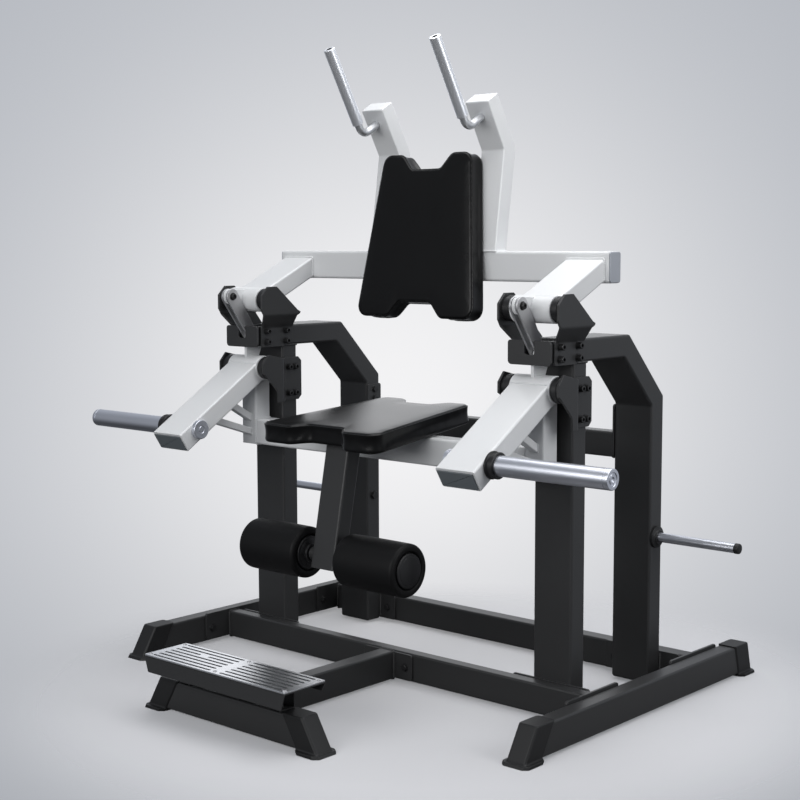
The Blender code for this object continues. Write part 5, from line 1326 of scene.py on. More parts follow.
@dataclass(frozen=True)
class LowerBracket(Assembly):
    """A plate bolted on a flank of a front post, bent out and forward to carry an end of the lower axle."""

    sheet: float = 0.0066
    top_rise: float = 0.040
    front_reach: float = 0.037
    front_chamfer_y: float = 0.022
    front_chamfer_z: float = 0.025
    front_drop: float = 0.014
    nose_drop: float = 0.018
    nose_y: float = 0.029
    waist_y: float = 0.022
    waist_drop: float = 0.070
    bottom_drop: float = 0.103
    fold_y: float = 0.045
    rear_overhang: float = 0.012
    rear_top_rise: float = 0.026
    rear_chamfer: float = 0.012
    bolt_front: float = 0.019
    bolt_pitch_y: float = 0.025
    bolt_top_drop: float = 0.003
    bolt_pitch_z: float = 0.078
    bolt_radius: float = 0.0085
    bolt_height: float = 0.013

    def build(self, side: Side) -> None:
        """Both plates of one post, with their screws."""
        bolts = Form()
        plan, centre = self.plan, side.value * self.plan.post_spread
        for word, sense in (("inner", -side.value), ("outer", side.value)):
            name = f"lower_bracket_{side.word}_{word}"
            present(self.plate(centre, sense), f"{name}_plate", CHARCOAL, Rides.BASE, name)
            face = centre + sense * (plan.post_half + plan.gap + self.sheet)
            for column in range(2):
                y = plan.post_front + self.bolt_front + column * self.bolt_pitch_y
                for row in range(2):
                    z = plan.lower_z - self.bolt_top_drop - row * self.bolt_pitch_z
                    bolts.socket(along_x(face, y, z, sense), self.bolt_radius, self.bolt_height)
        present(bolts, "lower_bracket_screws", PIN_STEEL, Rides.BASE, side=side)

    def plate(self, centre: float, sense: int) -> Form:
        """A sheet bent in plan, whose top and bottom edges follow its outline."""
        plan = self.plan
        near, far = plan.post_half + plan.gap + self.sheet / 2, plan.ear_inner + self.sheet / 2
        front, rear = plan.pivot_y - self.front_reach, plan.post_rear + self.rear_overhang
        fold = plan.pivot_y + self.fold_y
        corners = [(rear, near), (plan.post_front + 0.003, near), (fold, far), (front, far)]
        line = resample(rounded(corners, 0.010, closed=False), 0.0012)
        path = np.stack([centre + sense * line[:, 1], line[:, 0], np.zeros(len(line))], axis=1)
        z, bottom, top = plan.lower_z, plan.lower_z - self.bottom_drop, plan.lower_z + self.top_rise
        rear_top = z + self.rear_top_rise
        waist = plan.pivot_y + self.waist_y
        ys = [front, front + self.front_chamfer_y, fold, rear - self.rear_chamfer, rear]
        zs = [top - self.front_chamfer_z, top, rear_top, rear_top, rear_top - self.rear_chamfer]
        high = np.interp(line[:, 0], ys, zs)
        ys = [front, plan.pivot_y - self.nose_y, waist, waist + 0.001, rear - self.rear_chamfer, rear]
        zs = [z - self.front_drop, z - self.nose_drop, z - self.waist_drop, bottom, bottom,
              bottom + self.rear_chamfer]
        return Form().ribbon(path, Z, np.interp(line[:, 0], ys, zs), high, self.sheet)


@dataclass(frozen=True)
class Axle(Assembly):
    """A fixed axle whose stepped black bosses fill the space between sleeve and plates."""

    bar: float = 0.015
    boss: float = 0.0335
    step: float = 0.0015
    rim: float = 0.006

    def build(self, side: Side, word: str, level: float) -> None:
        """The axle at one level."""
        plan = self.plan
        end, face = plan.ear_inner - plan.gap, plan.sleeve_half + plan.gap
        small, inner, lip = self.boss - self.step, face + 0.004, end - self.rim
        half = [(end, small - 0.0012), (end - 0.0012, small), (lip, small), (lip, self.boss - 0.0012),
                (lip - 0.0012, self.boss), (inner + 0.001, self.boss), (inner, self.boss - 0.001),
                (face, self.boss - 0.003), (face, self.bar)]
        basis = along_x(side.value * plan.post_spread, plan.pivot_y, level)
        present(Form().lathe(basis, mirrored(half)), f"{word}_axle_bosses", BEARING, Rides.BASE,
                f"{word}_axle", side=side)


@dataclass(frozen=True)
class UpperArm(Assembly):
    """The sleeve on the upper axle, the square tube back to the cross beam and the ear for the link."""

    depth: float = 0.054
    drop: float = 0.0045
    pitch: float = math.radians(25.4)
    beam_forward: float = 0.207
    ear: float = 0.010
    ear_root: float = 0.030
    ear_head: float = 0.022

    def build(self, side: Side) -> None:
        """One arm."""
        plan, centre = self.plan, side.value * self.plan.post_spread
        basis = leaning(centre, (plan.pivot_y, plan.upper_z), (math.cos(self.pitch), math.sin(self.pitch)))
        basis = Basis(basis.origin - self.drop * basis.v, basis.u, basis.v, basis.w)
        length = (self.beam_forward - plan.gap - self.drop * math.sin(self.pitch)) / math.cos(self.pitch)
        section = centred(2 * plan.post_half, self.depth, plan.tube_round)
        form = Form().slab(basis, section, 0.0, length, SOFT, (0.0, math.tan(self.pitch)))
        sleeve(form, plan, along_x(centre, plan.pivot_y, plan.upper_z))
        outline = disc_hull([((plan.pivot_y, plan.upper_z), self.ear_root), (plan.link_top, self.ear_head)])
        form.slab(along_x(centre), outline, -self.ear / 2, self.ear / 2, 0.0015)
        saddle(form, basis, plan, self.depth / 2, self.hardware.bead, self.drop)
        end = basis.origin + length * basis.w - WELD_LIFT * Y
        upright = centred(2 * plan.post_half, self.depth / math.cos(self.pitch), plan.tube_round)
        form.weld(Basis(end, X, Z, Y), upright, 0.0, self.hardware.bead)
        present(form, "upper_arm_tube", WHITE, Rides.UPPER, "upper_arm", side=side)


def sleeve(form: Form, plan: Plan, basis: Basis) -> None:
    """A round sleeve with softened rims, on an axle along w."""
    reach, radius = plan.sleeve_half, plan.sleeve_radius
    half = [(reach, radius - 0.009), (reach, radius - 0.0015), (reach - 0.0015, radius)]
    form.lathe(basis, mirrored(half))


def saddle(form: Form, basis: Basis, plan: Plan, height: float, bead: float, drop: float = 0.0) -> None:
    """The bead across a tube where its face meets a sleeve: at sqrt(r^2 - h^2) from the sleeve's axis.

    Args:
        form: takes the bead.
        basis: of the tube.
        plan: gives the sleeve's radius.
        height: of the tube's face along v.
        bead: the bead's width.
        drop: of the tube's middle line under the axis.
    """
    along = math.sqrt(plan.sleeve_radius**2 - (abs(height) - drop) ** 2)
    start = basis.origin + along * basis.w + height * basis.v
    line = box_loop(-plan.post_half + 0.004, plan.post_half - 0.004, -0.0004, 0.0004, 0.0003)
    form.weld(Basis(start, basis.u, basis.v, basis.w), line, 0.0, bead * 0.8)


@dataclass(frozen=True)
class UpperBeam(Assembly):
    """The beam across the back of both upper arms, with a plastic cap at each end."""

    half: float = 0.600
    cap: float = 0.004
    inset: float = 0.0015

    def build(self) -> None:
        """The beam and its caps."""
        plan, half_height = self.plan, self.plan.upper_beam_height / 2
        limits = (plan.upper_beam_front, plan.upper_beam_rear, plan.upper_beam_middle - half_height,
                  plan.upper_beam_middle + half_height)
        loop = box_loop(*limits, 0.008)
        present(Form().slab(along_x(), loop, -self.half, self.half), "upper_beam_tube", WHITE, Rides.UPPER,
                "upper_cross_beam")
        for side in Side:
            start = self.half + plan.gap
            form = Form().slab(along_x(sense=side.value), shrunk(loop, self.inset), start, start + self.cap,
                               0.0015)
            present(form, "beam_end_cap", GREY, Rides.UPPER, "beam_cap", side=side)


@dataclass(frozen=True)
class Upright(Assembly):
    """A bent post behind the back pad, with the chrome handle rod and the grip that turns on it."""

    spread: float = 0.1915
    width: float = 0.080
    depth: float = 0.050
    lean: float = math.radians(8.0)
    length: float = 0.277
    head_lean: float = math.radians(30.2)
    head_length: float = 0.145
    corner: float = 0.0035
    rod: float = 0.011
    rod_foot: float = 0.100
    standoff: float = 0.070
    bend: float = 0.026
    grip_start: float = 0.036
    grip_length: float = 0.230
    grip_radius: float = 0.016
    grip_wall: float = 0.004
    grip_eye: float = 0.0085
    pad_drop: float = 0.1955

    def line(self) -> tuple[Array, Array, Array]:
        """Front corners in (y, z): foot, bend and top."""
        plan = self.plan
        top = plan.upper_beam_middle + plan.upper_beam_height / 2
        foot = np.array((plan.upper_beam_front, top + plan.gap))
        bend = foot + self.length * np.array((math.sin(self.lean), math.cos(self.lean)))
        head = np.array((-math.sin(self.head_lean), math.cos(self.head_lean)))
        return foot, bend, bend + self.head_length * head

    def build(self, side: Side) -> None:
        """The post, its weld, the rod and the grip."""
        x = side.value * self.spread
        foot, bend, top = self.line()
        mitre, way = (self.lean + self.head_lean) / 2, (self.lean - self.head_lean) / 2
        reach = self.depth / math.cos(mitre)
        rear_bend = bend + reach * np.array((math.cos(way), -math.sin(way)))
        rear_top = top + self.depth * np.array((math.cos(self.head_lean), math.sin(self.head_lean)))
        rear_foot = foot + np.array((self.depth / math.cos(self.lean), 0.0))
        corners = [foot, rear_foot, rear_bend, rear_top, top, bend]
        outline = rounded(corners, (0.0045, 0.0045, 0.012, 0.0045, 0.0045, 0.012))
        form = Form().slab(along_x(x), outline, -self.width / 2, self.width / 2, self.corner)
        footprint = box_loop(-self.width / 2, self.width / 2, foot[0], rear_foot[0], self.corner)
        form.weld(along_z(x), footprint, foot[1], self.hardware.bead)
        name = f"upright_{side.word}"
        present(form, f"{name}_tube", WHITE, Rides.UPPER, name)
        self.handle(side, x, bend)

    def handle(self, side: Side, x: float, bend: Array) -> None:
        """The rod: out of the post, round a bend and up, with a weld at its root, and the grip on it."""
        outward = np.array((-math.cos(self.head_lean), -math.sin(self.head_lean)))
        upward = np.array((-math.sin(self.head_lean), math.cos(self.head_lean)))
        root = bend + self.rod_foot * upward
        corner = root + self.standoff * outward
        end = self.grip_start + self.grip_length - self.grip_wall - 0.002
        line = rounded([root + 0.0003 * outward, corner, corner + end * upward], self.bend, 18, closed=False)
        path = np.stack([np.full(len(line), x), line[:, 0], line[:, 1]], axis=1)
        present(Form().sweep(path, X, self.rod * circle(BOLT_STEPS)), "handle_bar", SATIN, Rides.UPPER,
                "handle_rod", side=side)
        top, rim, bore = self.grip_start + self.grip_length, self.grip_radius, self.rod + 0.0003
        basis = leaning(x, corner, upward)
        start, eye, base, soft = self.grip_start, self.grip_eye, top - self.grip_wall, 0.002
        profile = [(start, bore), (start, rim - soft), (start + soft / 2, rim - soft / 4),
                   (start + soft, rim), *quarter(top, rim, soft, 5), (top, eye + 0.0004), (top - 0.0003, eye),
                   (base, eye), (base, bore)]
        present(Form().lathe(basis, profile, ring=True), "grip_sleeve", GRIP, f"grip_{side.word}",
                "handle_grip", side=side)
        slack, wall, point = 0.0002, 0.0006, 0.001
        outer, inner = eye - slack, eye - slack - wall
        plug = [(base, point), (base, outer), (top - slack, outer), (top - slack, inner),
                (base + wall, inner), (base + wall, point)]
        present(Form().lathe(basis, plug, BOLT_STEPS), "grip_plug", BEARING, f"grip_{side.word}", side=side)


@dataclass(frozen=True)
class Link(Assembly):
    """Two steel plates with rounded ends and their pins."""

    top_radius: float = 0.022
    foot_radius: float = 0.017
    inner: float = 0.007
    outer: float = 0.013
    pin: float = 0.006
    head: float = 0.009
    head_height: float = 0.008

    def build(self, side: Side) -> None:
        """The plates and pins of one link."""
        plan, centre = self.plan, side.value * self.plan.post_spread
        outline = disc_hull([(plan.link_top, self.top_radius), (plan.link_foot, self.foot_radius)], 120)
        form = Form()
        for sense in (-1, 1):
            form.slab(along_x(centre, sense=sense), outline, self.inner, self.outer, SOFT)
        for place, reach in ((plan.link_foot, self.outer - 0.0005), (plan.link_top, self.outer)):
            form.lathe(along_x(centre, *place), [(-reach, self.pin), (reach, self.pin)], BOLT_STEPS)
        present(form, "link_plates", STEEL, f"link_{side.word}", "link", side=side)
        heads = Form()
        for sense in (-1, 1):
            seat = along_x(centre + sense * self.outer, *plan.link_top, sense)
            heads.socket(seat, self.head * 0.95, self.head_height)
        present(heads, "link_screws", PIN_STEEL, f"link_{side.word}", side=side)


@dataclass(frozen=True)
class WeightArm(Assembly):
    """The sleeve on the lower axle, the sloping tube, the crank above it, the hanger and braces below it."""

    depth: float = 0.058
    pitch: float = math.radians(32.1)
    length: float = 0.3686
    cap: float = 0.004
    horn_along: float = 0.301
    horn_rise: float = 0.001
    horn_radius: float = 0.025
    horn_reach: float = 0.341
    flange_radius: float = 0.027
    flange_length: float = 0.012
    groove_inset: float = 0.010
    groove_width: float = 0.003
    groove_depth: float = 0.0012
    dish: float = 0.013
    collar_radius: float = 0.034
    collar_length: float = 0.023
    collar_waist: float = 0.004
    collar_lip: float = 0.006
    crank: float = 0.009
    crank_head: float = 0.019
    crank_front: float = 0.019
    crank_rear: float = 0.044
    crank_foot: float = 0.020
    crank_shoulder: float = 0.060
    crank_round: float = 0.004
    hanger_half: float = 0.030
    brace_height: float = 0.020
    brace_width: float = 0.025
    brace_drops: tuple[float, float] = (0.150, 0.192)
    brace_reaches: tuple[float, float] = (0.089, 0.160)
    brace_pitches: tuple[float, float] = (math.radians(30), math.radians(18))

    def basis(self, centre: float) -> Basis:
        """Along the arm from the lower axle."""
        way = (-math.cos(self.pitch), -math.sin(self.pitch))
        return leaning(centre, (self.plan.pivot_y, self.plan.lower_z), way)

    def build(self, side: Side) -> None:
        """The arm, its cap, the horn and the collar."""
        plan, centre = self.plan, side.value * self.plan.post_spread
        basis = self.basis(centre)
        section = centred(2 * plan.post_half, self.depth, plan.tube_round)
        length = self.length - self.cap - plan.gap
        form = Form().slab(basis, section, 0.0, length, SOFT)
        sleeve(form, plan, along_x(centre, plan.pivot_y, plan.lower_z))
        saddle(form, basis, plan, -self.depth / 2, self.hardware.bead)
        present(self.lower_part(form, centre), "weight_arm_tube", WHITE, Rides.LOWER, "weight_arm", side=side)
        cap = Form().slab(basis, shrunk(section, 0.0055), length + plan.gap, self.length, 0.0015)
        present(cap, "arm_end_cap", SLATE, Rides.LOWER, "arm_cap", side=side)
        self.horn(side, basis.origin + self.horn_along * basis.w - self.horn_rise * basis.v)

    def lower_part(self, form: Form, centre: float) -> Form:
        """Adds the crank plate, the hanger and its braces."""
        plan = self.plan
        y, z = plan.pivot_y, plan.lower_z
        low, high = z + self.crank_foot, z + self.crank_shoulder
        front, rear = y - self.crank_front + self.crank_round, y + self.crank_rear - self.crank_round
        spots = ((front, low), (front, high), (rear, high), (y + self.crank_rear / 2, low))
        discs = [*((spot, self.crank_round) for spot in spots), (plan.link_foot, self.crank_head)]
        form.slab(along_x(centre), disc_hull(discs, 120), -self.crank / 2, self.crank / 2, 0.0012)
        half = self.hanger_half
        loop = box_loop(centre - half, centre + half, plan.hanger_front, plan.hanger_rear, plan.tube_round)
        form.slab(along_z(), loop, plan.seat_beam_bottom, z - plan.sleeve_radius / 2, SOFT)
        for drop, reach, pitch in zip(self.brace_drops, self.brace_reaches, self.brace_pitches):
            brace = leaning(centre, (plan.hanger_front + 0.001, z - drop),
                            (-math.cos(pitch), math.sin(pitch)))
            outline = centred(self.brace_width, self.brace_height, 0.003)
            form.slab(brace, outline, 0.0, (reach + self.depth / 4) / math.cos(pitch), SHEET_SOFT)
            form.weld(Basis(brace.origin - WELD_LIFT * Y, X, Z, -Y),
                      centred(self.brace_width, self.brace_height / math.cos(pitch), 0.003), 0.0, 0.0026)
        return form

    def horn(self, side: Side, middle: Array) -> None:
        """The plate horn: through the arm, flanged inside, with a groove and a dished end."""
        plan = self.plan
        face, radius = plan.post_half + plan.gap, self.horn_radius
        basis = along_x(*middle, side.value)
        end = plan.post_half + self.horn_reach
        groove, soft = end - self.groove_inset, 0.002
        deep = radius - self.groove_depth
        start, floor = -face - self.flange_length, self.dish
        profile = [(start, 0.008), (start + 0.001, 0.0095), (start, 0.011),
                   *quarter(start, self.flange_radius, soft, 5, -1), (-face, self.flange_radius),
                   (-face, radius), (groove - self.groove_width, radius),
                   (groove - self.groove_width + 0.0005, deep),
                   (groove - 0.0005, deep), (groove, radius), *quarter(end, radius, soft, 5),
                   (end, floor + 0.004), (end - 0.002, floor + 0.0025), (end - 0.002, floor),
                   (end - 0.0002, floor - 0.0015), (end - 0.0002, 0.0065), (end - 0.003, 0.0045),
                   (end - 0.004, 0.001)]
        present(Form().lathe(basis, profile, 72), "plate_horn", CHROME, Rides.LOWER, "weight_horn", side=side)
        hole, rim, out = radius + 0.0003, self.collar_radius, face + self.collar_length
        waist, near, far = rim - self.collar_waist, face + self.collar_lip, out - self.collar_lip
        collar = [(face, hole), (face, rim - 0.0012), (face + 0.0012, rim), (near - 0.001, rim),
                  (near, rim - 0.001), (near + 0.001, waist + 0.001), (near + 0.002, waist),
                  (far - 0.001, waist), (far, waist + 0.001), (far + 0.0005, rim - 0.0015),
                  (out - 0.002, rim - 0.0015), (out - 0.0006, rim - 0.0024), (out, rim - 0.004), (out, hole)]
        present(Form().lathe(basis, collar, 72, ring=True), "horn_collar_ring", BEARING, Rides.LOWER,
                "horn_collar", side=side)


@dataclass(frozen=True)
class SeatFrame(Assembly):
    """The beam between the hangers, and the spine under the seat."""

    half: float = 0.4967
    spine_half: float = 0.042
    spine_depth: float = 0.030
    spine_rear: float = 0.084
    spine_tail: float = 0.012
    post_forward: float = 0.165
    post_depth: float = 0.050
    post_lean: float = math.radians(11.2)
    pad_forward: float = 0.250

    def plane(self, y: float, below: float = 0.0) -> float:
        """Height at y of the seat's underside plane, or of one below it."""
        plan = self.plan
        base = plan.seat_beam_top + 0.002 + plan.gap
        return base + (y - plan.hanger_front) * math.tan(plan.seat_tilt) - below / math.cos(plan.seat_tilt)

    def post_corner(self) -> Array:
        """Top front corner of the roller post, just under the seat, as (y, z)."""
        front = self.plan.hanger_front - self.post_forward
        return np.array((front, self.plane(front, self.plan.gap)))

    def behind_post(self, below: float) -> tuple[float, float]:
        """Where a line just behind the roller post crosses a plane some way below the seat.

        Args:
            below: distance of the plane below the seat's underside.

        Returns:
            (y, z) of the crossing.
        """
        back = np.array((math.cos(self.post_lean), -math.sin(self.post_lean)))
        y, z = self.post_corner() + back * (self.post_depth + self.plan.gap)
        slope, rise = math.tan(self.post_lean), math.tan(self.plan.seat_tilt)
        meet = (y + (self.plane(y, below) - z) * slope - y * slope * rise) / (1 - slope * rise)
        return meet, self.plane(meet, below)

    def build(self) -> None:
        """Beam and spine."""
        plan = self.plan
        loop = box_loop(plan.hanger_front, plan.hanger_rear, plan.seat_beam_bottom, plan.seat_beam_top, 0.007)
        form = Form().slab(along_x(), loop, -self.half, self.half)
        for side in Side:
            form.weld(along_x(sense=side.value), loop, self.half, self.hardware.bead)
        rear, inside = plan.hanger_rear + self.spine_rear, (plan.hanger_front + plan.hanger_rear) / 2
        gap = plan.gap
        outline = [self.behind_post(gap), self.behind_post(self.spine_depth),
                   (inside, self.plane(inside, self.spine_depth)),
                   (plan.hanger_rear, self.plane(plan.hanger_rear, self.spine_depth)),
                   (rear, self.plane(rear, self.spine_tail)), (rear, self.plane(rear, gap))]
        form.slab(along_x(), rounded(outline, 0.004, 3), -self.spine_half, self.spine_half, 0.004)
        present(form, "seat_beam_and_spine", WHITE, Rides.LOWER, "seat_frame")


@dataclass(frozen=True)
class RollerSet(Assembly):
    """The leaning post under the seat, its axle and the two foam rollers."""

    seat: SeatFrame = SeatFrame()
    width: float = 0.084
    length: float = 0.346
    axle_rise: float = 0.036
    axle: float = 0.0125
    shoulder: float = 0.019
    shoulder_length: float = 0.018
    start: float = 0.073
    roller_length: float = 0.211
    radius: float = 0.070
    round: float = 0.010
    belly: float = 0.0005
    cap: float = 0.046
    bulge: float = 0.005
    hub: float = 0.026
    hub_length: float = 0.011
    screw_ring: float = 0.0345
    bore_wall: float = 0.018

    def build(self) -> None:
        """The post, the axle and both rollers."""
        plan, seat = self.plan, self.seat
        along = np.array((-math.sin(seat.post_lean), -math.cos(seat.post_lean)))
        back = np.array((math.cos(seat.post_lean), -math.sin(seat.post_lean)))
        level = np.array((math.cos(plan.seat_tilt), math.sin(plan.seat_tilt)))
        cross = back[0] * level[1] - back[1] * level[0]
        lean = -cross / (along[0] * level[1] - along[1] * level[0])
        start = seat.post_corner() + (back + along * lean) * seat.post_depth / 2
        basis = leaning(0.0, start, along)
        section = centred(self.width, seat.post_depth, plan.tube_round)
        slant = lean * float(np.sign(basis.v @ np.array((0.0, *back))))
        form = Form().slab(basis, section, 0.0, self.length, SOFT, (slant, 0.0))
        axis = start + along * (self.length - self.axle_rise)
        root = self.width / 2 + self.shoulder_length
        end = self.start + self.roller_length - self.bore_wall - 0.004
        half = [(end, self.axle - SOFT), (end - SOFT, self.axle), (root, self.axle),
                (root, self.shoulder - SOFT), (root - SOFT, self.shoulder)]
        form.lathe(along_x(0.0, *axis), mirrored(half))
        present(form, "roller_post_tube", CHARCOAL, Rides.LOWER, "roller_post")
        for side in Side:
            self.roller(side, along_x(0.0, *axis, side.value))

    def roller(self, side: Side, basis: Basis) -> None:
        """A foam sleeve on a hub with a ring of screws, and its stepped, domed end cap."""
        start, end, bore = self.start, self.start + self.roller_length, self.axle + 0.0003
        soft, rim = self.round, self.radius
        body = np.linspace(start + soft, end - soft, 9)[1:-1]
        swell = rim + self.belly * np.sin(math.pi * (body - start) / (end - start))
        lip = self.cap + 0.0035
        recess = [(0.010, bore), (0.008, lip - 0.002), (0.004, lip), (0.0015, lip + 0.0015),
                  (0.0, lip + 0.004)]
        profile = [*[(start + x, r) for x, r in recess], *quarter(start, rim, soft, 7, -1), *zip(body, swell),
                   *quarter(end, rim, soft, 7), *[(end - x, r) for x, r in recess[::-1]]]
        name = f"roller_{side.word}"
        foam = present(Form().lathe(basis, profile, 96, ring=True), f"foam_{name}", FOAM, name, name)
        cap, high, base = self.cap, self.bulge, 0.0022
        rise = [(-0.010, cap), (-0.002, cap), (-0.0005, cap - 0.0008), (0.0005, cap - 0.0022),
                (0.0008, cap - 0.006), (0.0012, cap - 0.0085), (base, cap - 0.0095)]
        crown = [(base + (high - base) * math.sin(s * math.pi / 2), (cap - 0.0095) * (1 - 0.995 * s))
                 for s in np.linspace(0.0, 1.0, 9)[1:]]
        cover = [(end - 0.010, bore), *[(end + x, r) for x, r in rise + crown],
                 (end - self.bore_wall, 0.0002), (end - self.bore_wall, bore)]
        present(Form().lathe(basis, cover, 72, ring=True), "roller_end_cap", BEARING, name, side=side)
        back = start - self.hub_length
        hub = [(start + 0.010, bore), (back, bore), (back, self.hub - 0.002), (back + 0.002, self.hub),
               (start - high, self.hub), *[(start - x, r) for x, r in rise[::-1]]]
        form = Form().lathe(basis, hub, 72, ring=True)
        for u, v in self.screw_ring * circle(6):
            spot = basis.origin + u * basis.u + v * basis.v + (start - base) * basis.w
            form.socket(Basis(spot, basis.u, basis.v, -basis.w), 0.0030, base)
        present(form, "roller_hub", BEARING, name, side=side)


def spaced(loop: Array, step: float) -> Array:
    """The closed outline with its points evenly spaced, about a step apart."""
    closed = np.concatenate([loop, loop[:1]])
    whole = run_along(closed)[-1]
    count = int(whole / step)
    return at_lengths(closed, np.arange(count) * whole / count)


def grid_normals(points: Array) -> Array:
    """Unit normals of a grid of closed rings: the cross product of its two gradients."""
    around = np.roll(points, -1, axis=1) - np.roll(points, 1, axis=1)
    return unit(np.cross(around, np.gradient(points, axis=0)) + 1e-12)


def carried(points: Array, rest: Array, shift: Array, near: int = 24) -> Array:
    """The shift at each point: the mean over its nearest rest points, weighted by 1 / squared distance."""
    found = np.empty_like(points)
    lengths = (rest**2).sum(1)
    for block in np.array_split(np.arange(len(points)), len(points) // 400 + 1):
        part = points[block]
        gap = (part**2).sum(1)[:, None] + lengths[None] - 2 * part @ rest.T
        close = np.argpartition(gap, near, axis=1)[:, :near]
        weight = 1 / (np.maximum(np.take_along_axis(gap, close, axis=1), 0.0) + 4e-6)
        found[block] = (weight[..., None] * shift[close]).sum(1) / weight.sum(1, keepdims=True)
    return found


@dataclass(frozen=True)
class Pad:
    """An upholstered pad: a board-backed foam block with notched ends, a sewn shoulder and a swollen face."""

    title: str
    node: str
    body: Rides
    basis: Basis
    first_half: float
    second_half: float
    length: float
    first_notch: float
    second_notch: float
    fill: float
    wrinkle: float
    seed: int
    thickness: float = 0.056
    notch_depth: float = 0.043
    notch_slant: float = 0.038
    corner: float = 0.034
    lobe_corner: float = 0.030
    notch_corner: float = 0.018
    crown: float = 0.003
    shoulder_round: float = 0.0035
    rim: float = 0.010
    back_round: float = 0.009
    draw: float = 0.002
    seam_depth: float = 0.0016
    seam_width: float = 0.0022
    shrink: float = 0.0010
    step: float = 0.005
    rim_share: float = 0.55
    back_rows: int = 6
    side_rows: int = 7
    shoulder_rows: int = 10
    seam_row: int = 19
    cloth_grain: float = 0.005
    held_height: float = 0.004
    pressure: float = 4.0
    frames: int = 20
    wave_lengths: tuple[float, float] = (0.090, 0.035)
    wave_slant: float = 60.0
    wave_spread: float = 0.018
    stitch: float = 0.0075
    pucker: float = 0.35

    def outline(self) -> Array:
        """The pad from its face: two wide ends with a shallow notch in each, and slanted sides."""
        depth, slant, length = self.notch_depth, self.notch_slant, self.length
        first, second = self.first_notch, self.second_notch
        corners = [(-first, depth), (first, depth), (first + slant, 0.0), (self.first_half, 0.0),
                   (self.second_half, length), (second + slant, length), (second, length - depth),
                   (-second, length - depth), (-second - slant, length), (-self.second_half, length),
                   (-self.first_half, 0.0), (-first - slant, 0.0)]
        notch, lobe, outer = self.notch_corner, self.lobe_corner, self.corner
        radii = (notch, notch, lobe, outer, outer, lobe, notch, notch, lobe, outer, outer, lobe)
        return spaced(rounded(corners, radii, 16), self.step)

    def profile(self) -> Array:
        """Rows of (inset, height) from the back up the side to the shoulder.

        The back and the shoulder are quarter rounds, and the side between them draws in by d sin(pi s).
        """
        turn, bend = (np.linspace(0.0, math.pi / 2, rows) for rows in (self.back_rows, self.shoulder_rows))
        back, soft = self.back_round, self.shoulder_round
        top = self.thickness - self.crown - self.shrink
        lower = np.stack([back * (1 - np.sin(turn)), back * (1 - np.cos(turn))], axis=1)
        share = np.linspace(0.0, 1.0, self.side_rows + 2)[1:-1]
        wall = np.stack([self.draw * np.sin(math.pi * share), back + (top - soft - back) * share], axis=1)
        upper = np.stack([soft * (1 - np.cos(bend)), top - soft * (1 - np.sin(bend))], axis=1)
        return np.concatenate([lower, wall, upper])

    def rings(self) -> Array:
        """The closed surface as rings: the side's profile, the rim of the face, then the face to its middle.

        The rim rises as a sine to its share h of the crown. With s from 1 there to 0 in the middle, the rest
        rises as 1 - (1 - h) s^6, which leaves the face nearly flat.
        """
        loop = shrunk(self.outline(), self.shrink)
        rows = self.profile()
        rings = [self.basis.lift(shrunk(loop, inset), height) for inset, height in rows]
        top = rows[-1, 1]
        for share in np.linspace(0.0, 1.0, 6)[1:]:
            inset = self.shoulder_round + share * (self.rim - self.shoulder_round)
            rise = self.crown * self.rim_share * math.sin(share * math.pi / 2)
            rings.append(self.basis.lift(shrunk(loop, inset), top + rise))
        inner = shrunk(loop, self.rim)
        middle = inner.mean(axis=0)
        for scale in np.linspace(1.0, 0.02, 34)[1:]:
            rise = self.crown * (1 - (1 - self.rim_share) * scale**6)
            rings.append(self.basis.lift(middle + (inner - middle) * scale, top + rise))
        return np.stack(rings)

    def swollen(self, rings: Array) -> Array:
        """The rings after their filling has pushed a stretched cover out, by cloth simulation.

        A copy is remeshed finely, its back is held, and pressure inflates it. Each ring point then takes the
        shift of the cloth beside it, limited to the fill's depth.
        """
        scene = bpy.context.scene
        cover = added("cover", Form().grid(rings).mesh("cover"))
        modifier(cover, "REMESH", mode="VOXEL", voxel_size=self.cloth_grain)
        applied(cover)
        rest = vertex_points(cover.data)
        height = (rest - self.basis.origin) @ self.basis.w
        held = cover.vertex_groups.new(name="back")
        held.add(np.flatnonzero(height < self.held_height).tolist(), 1.0, "REPLACE")
        cloth = modifier(cover, "CLOTH")
        cloth.settings.use_pressure = True
        cloth.settings.uniform_pressure_force = self.pressure
        cloth.settings.effector_weights.gravity = 0.0
        cloth.settings.vertex_group_mass = held.name
        cloth.collision_settings.use_collision = False
        for number in range(1, self.frames + 1):
            scene.frame_set(number)
        shift = vertex_points(applied(cover).data) - rest
        scene.frame_set(1)
        bpy.data.objects.remove(cover)
        LOG.info("%s: cloth of %d points moved %.1f mm at most", self.title, len(rest),
                 1000 * np.linalg.norm(shift, axis=1).max())
        moved = carried(rings.reshape(-1, 3), rest, shift).reshape(rings.shape)
        size = np.linalg.norm(moved, axis=-1, keepdims=True)
        return rings + moved * np.minimum(1.0, self.fill / np.maximum(size, 1e-9))

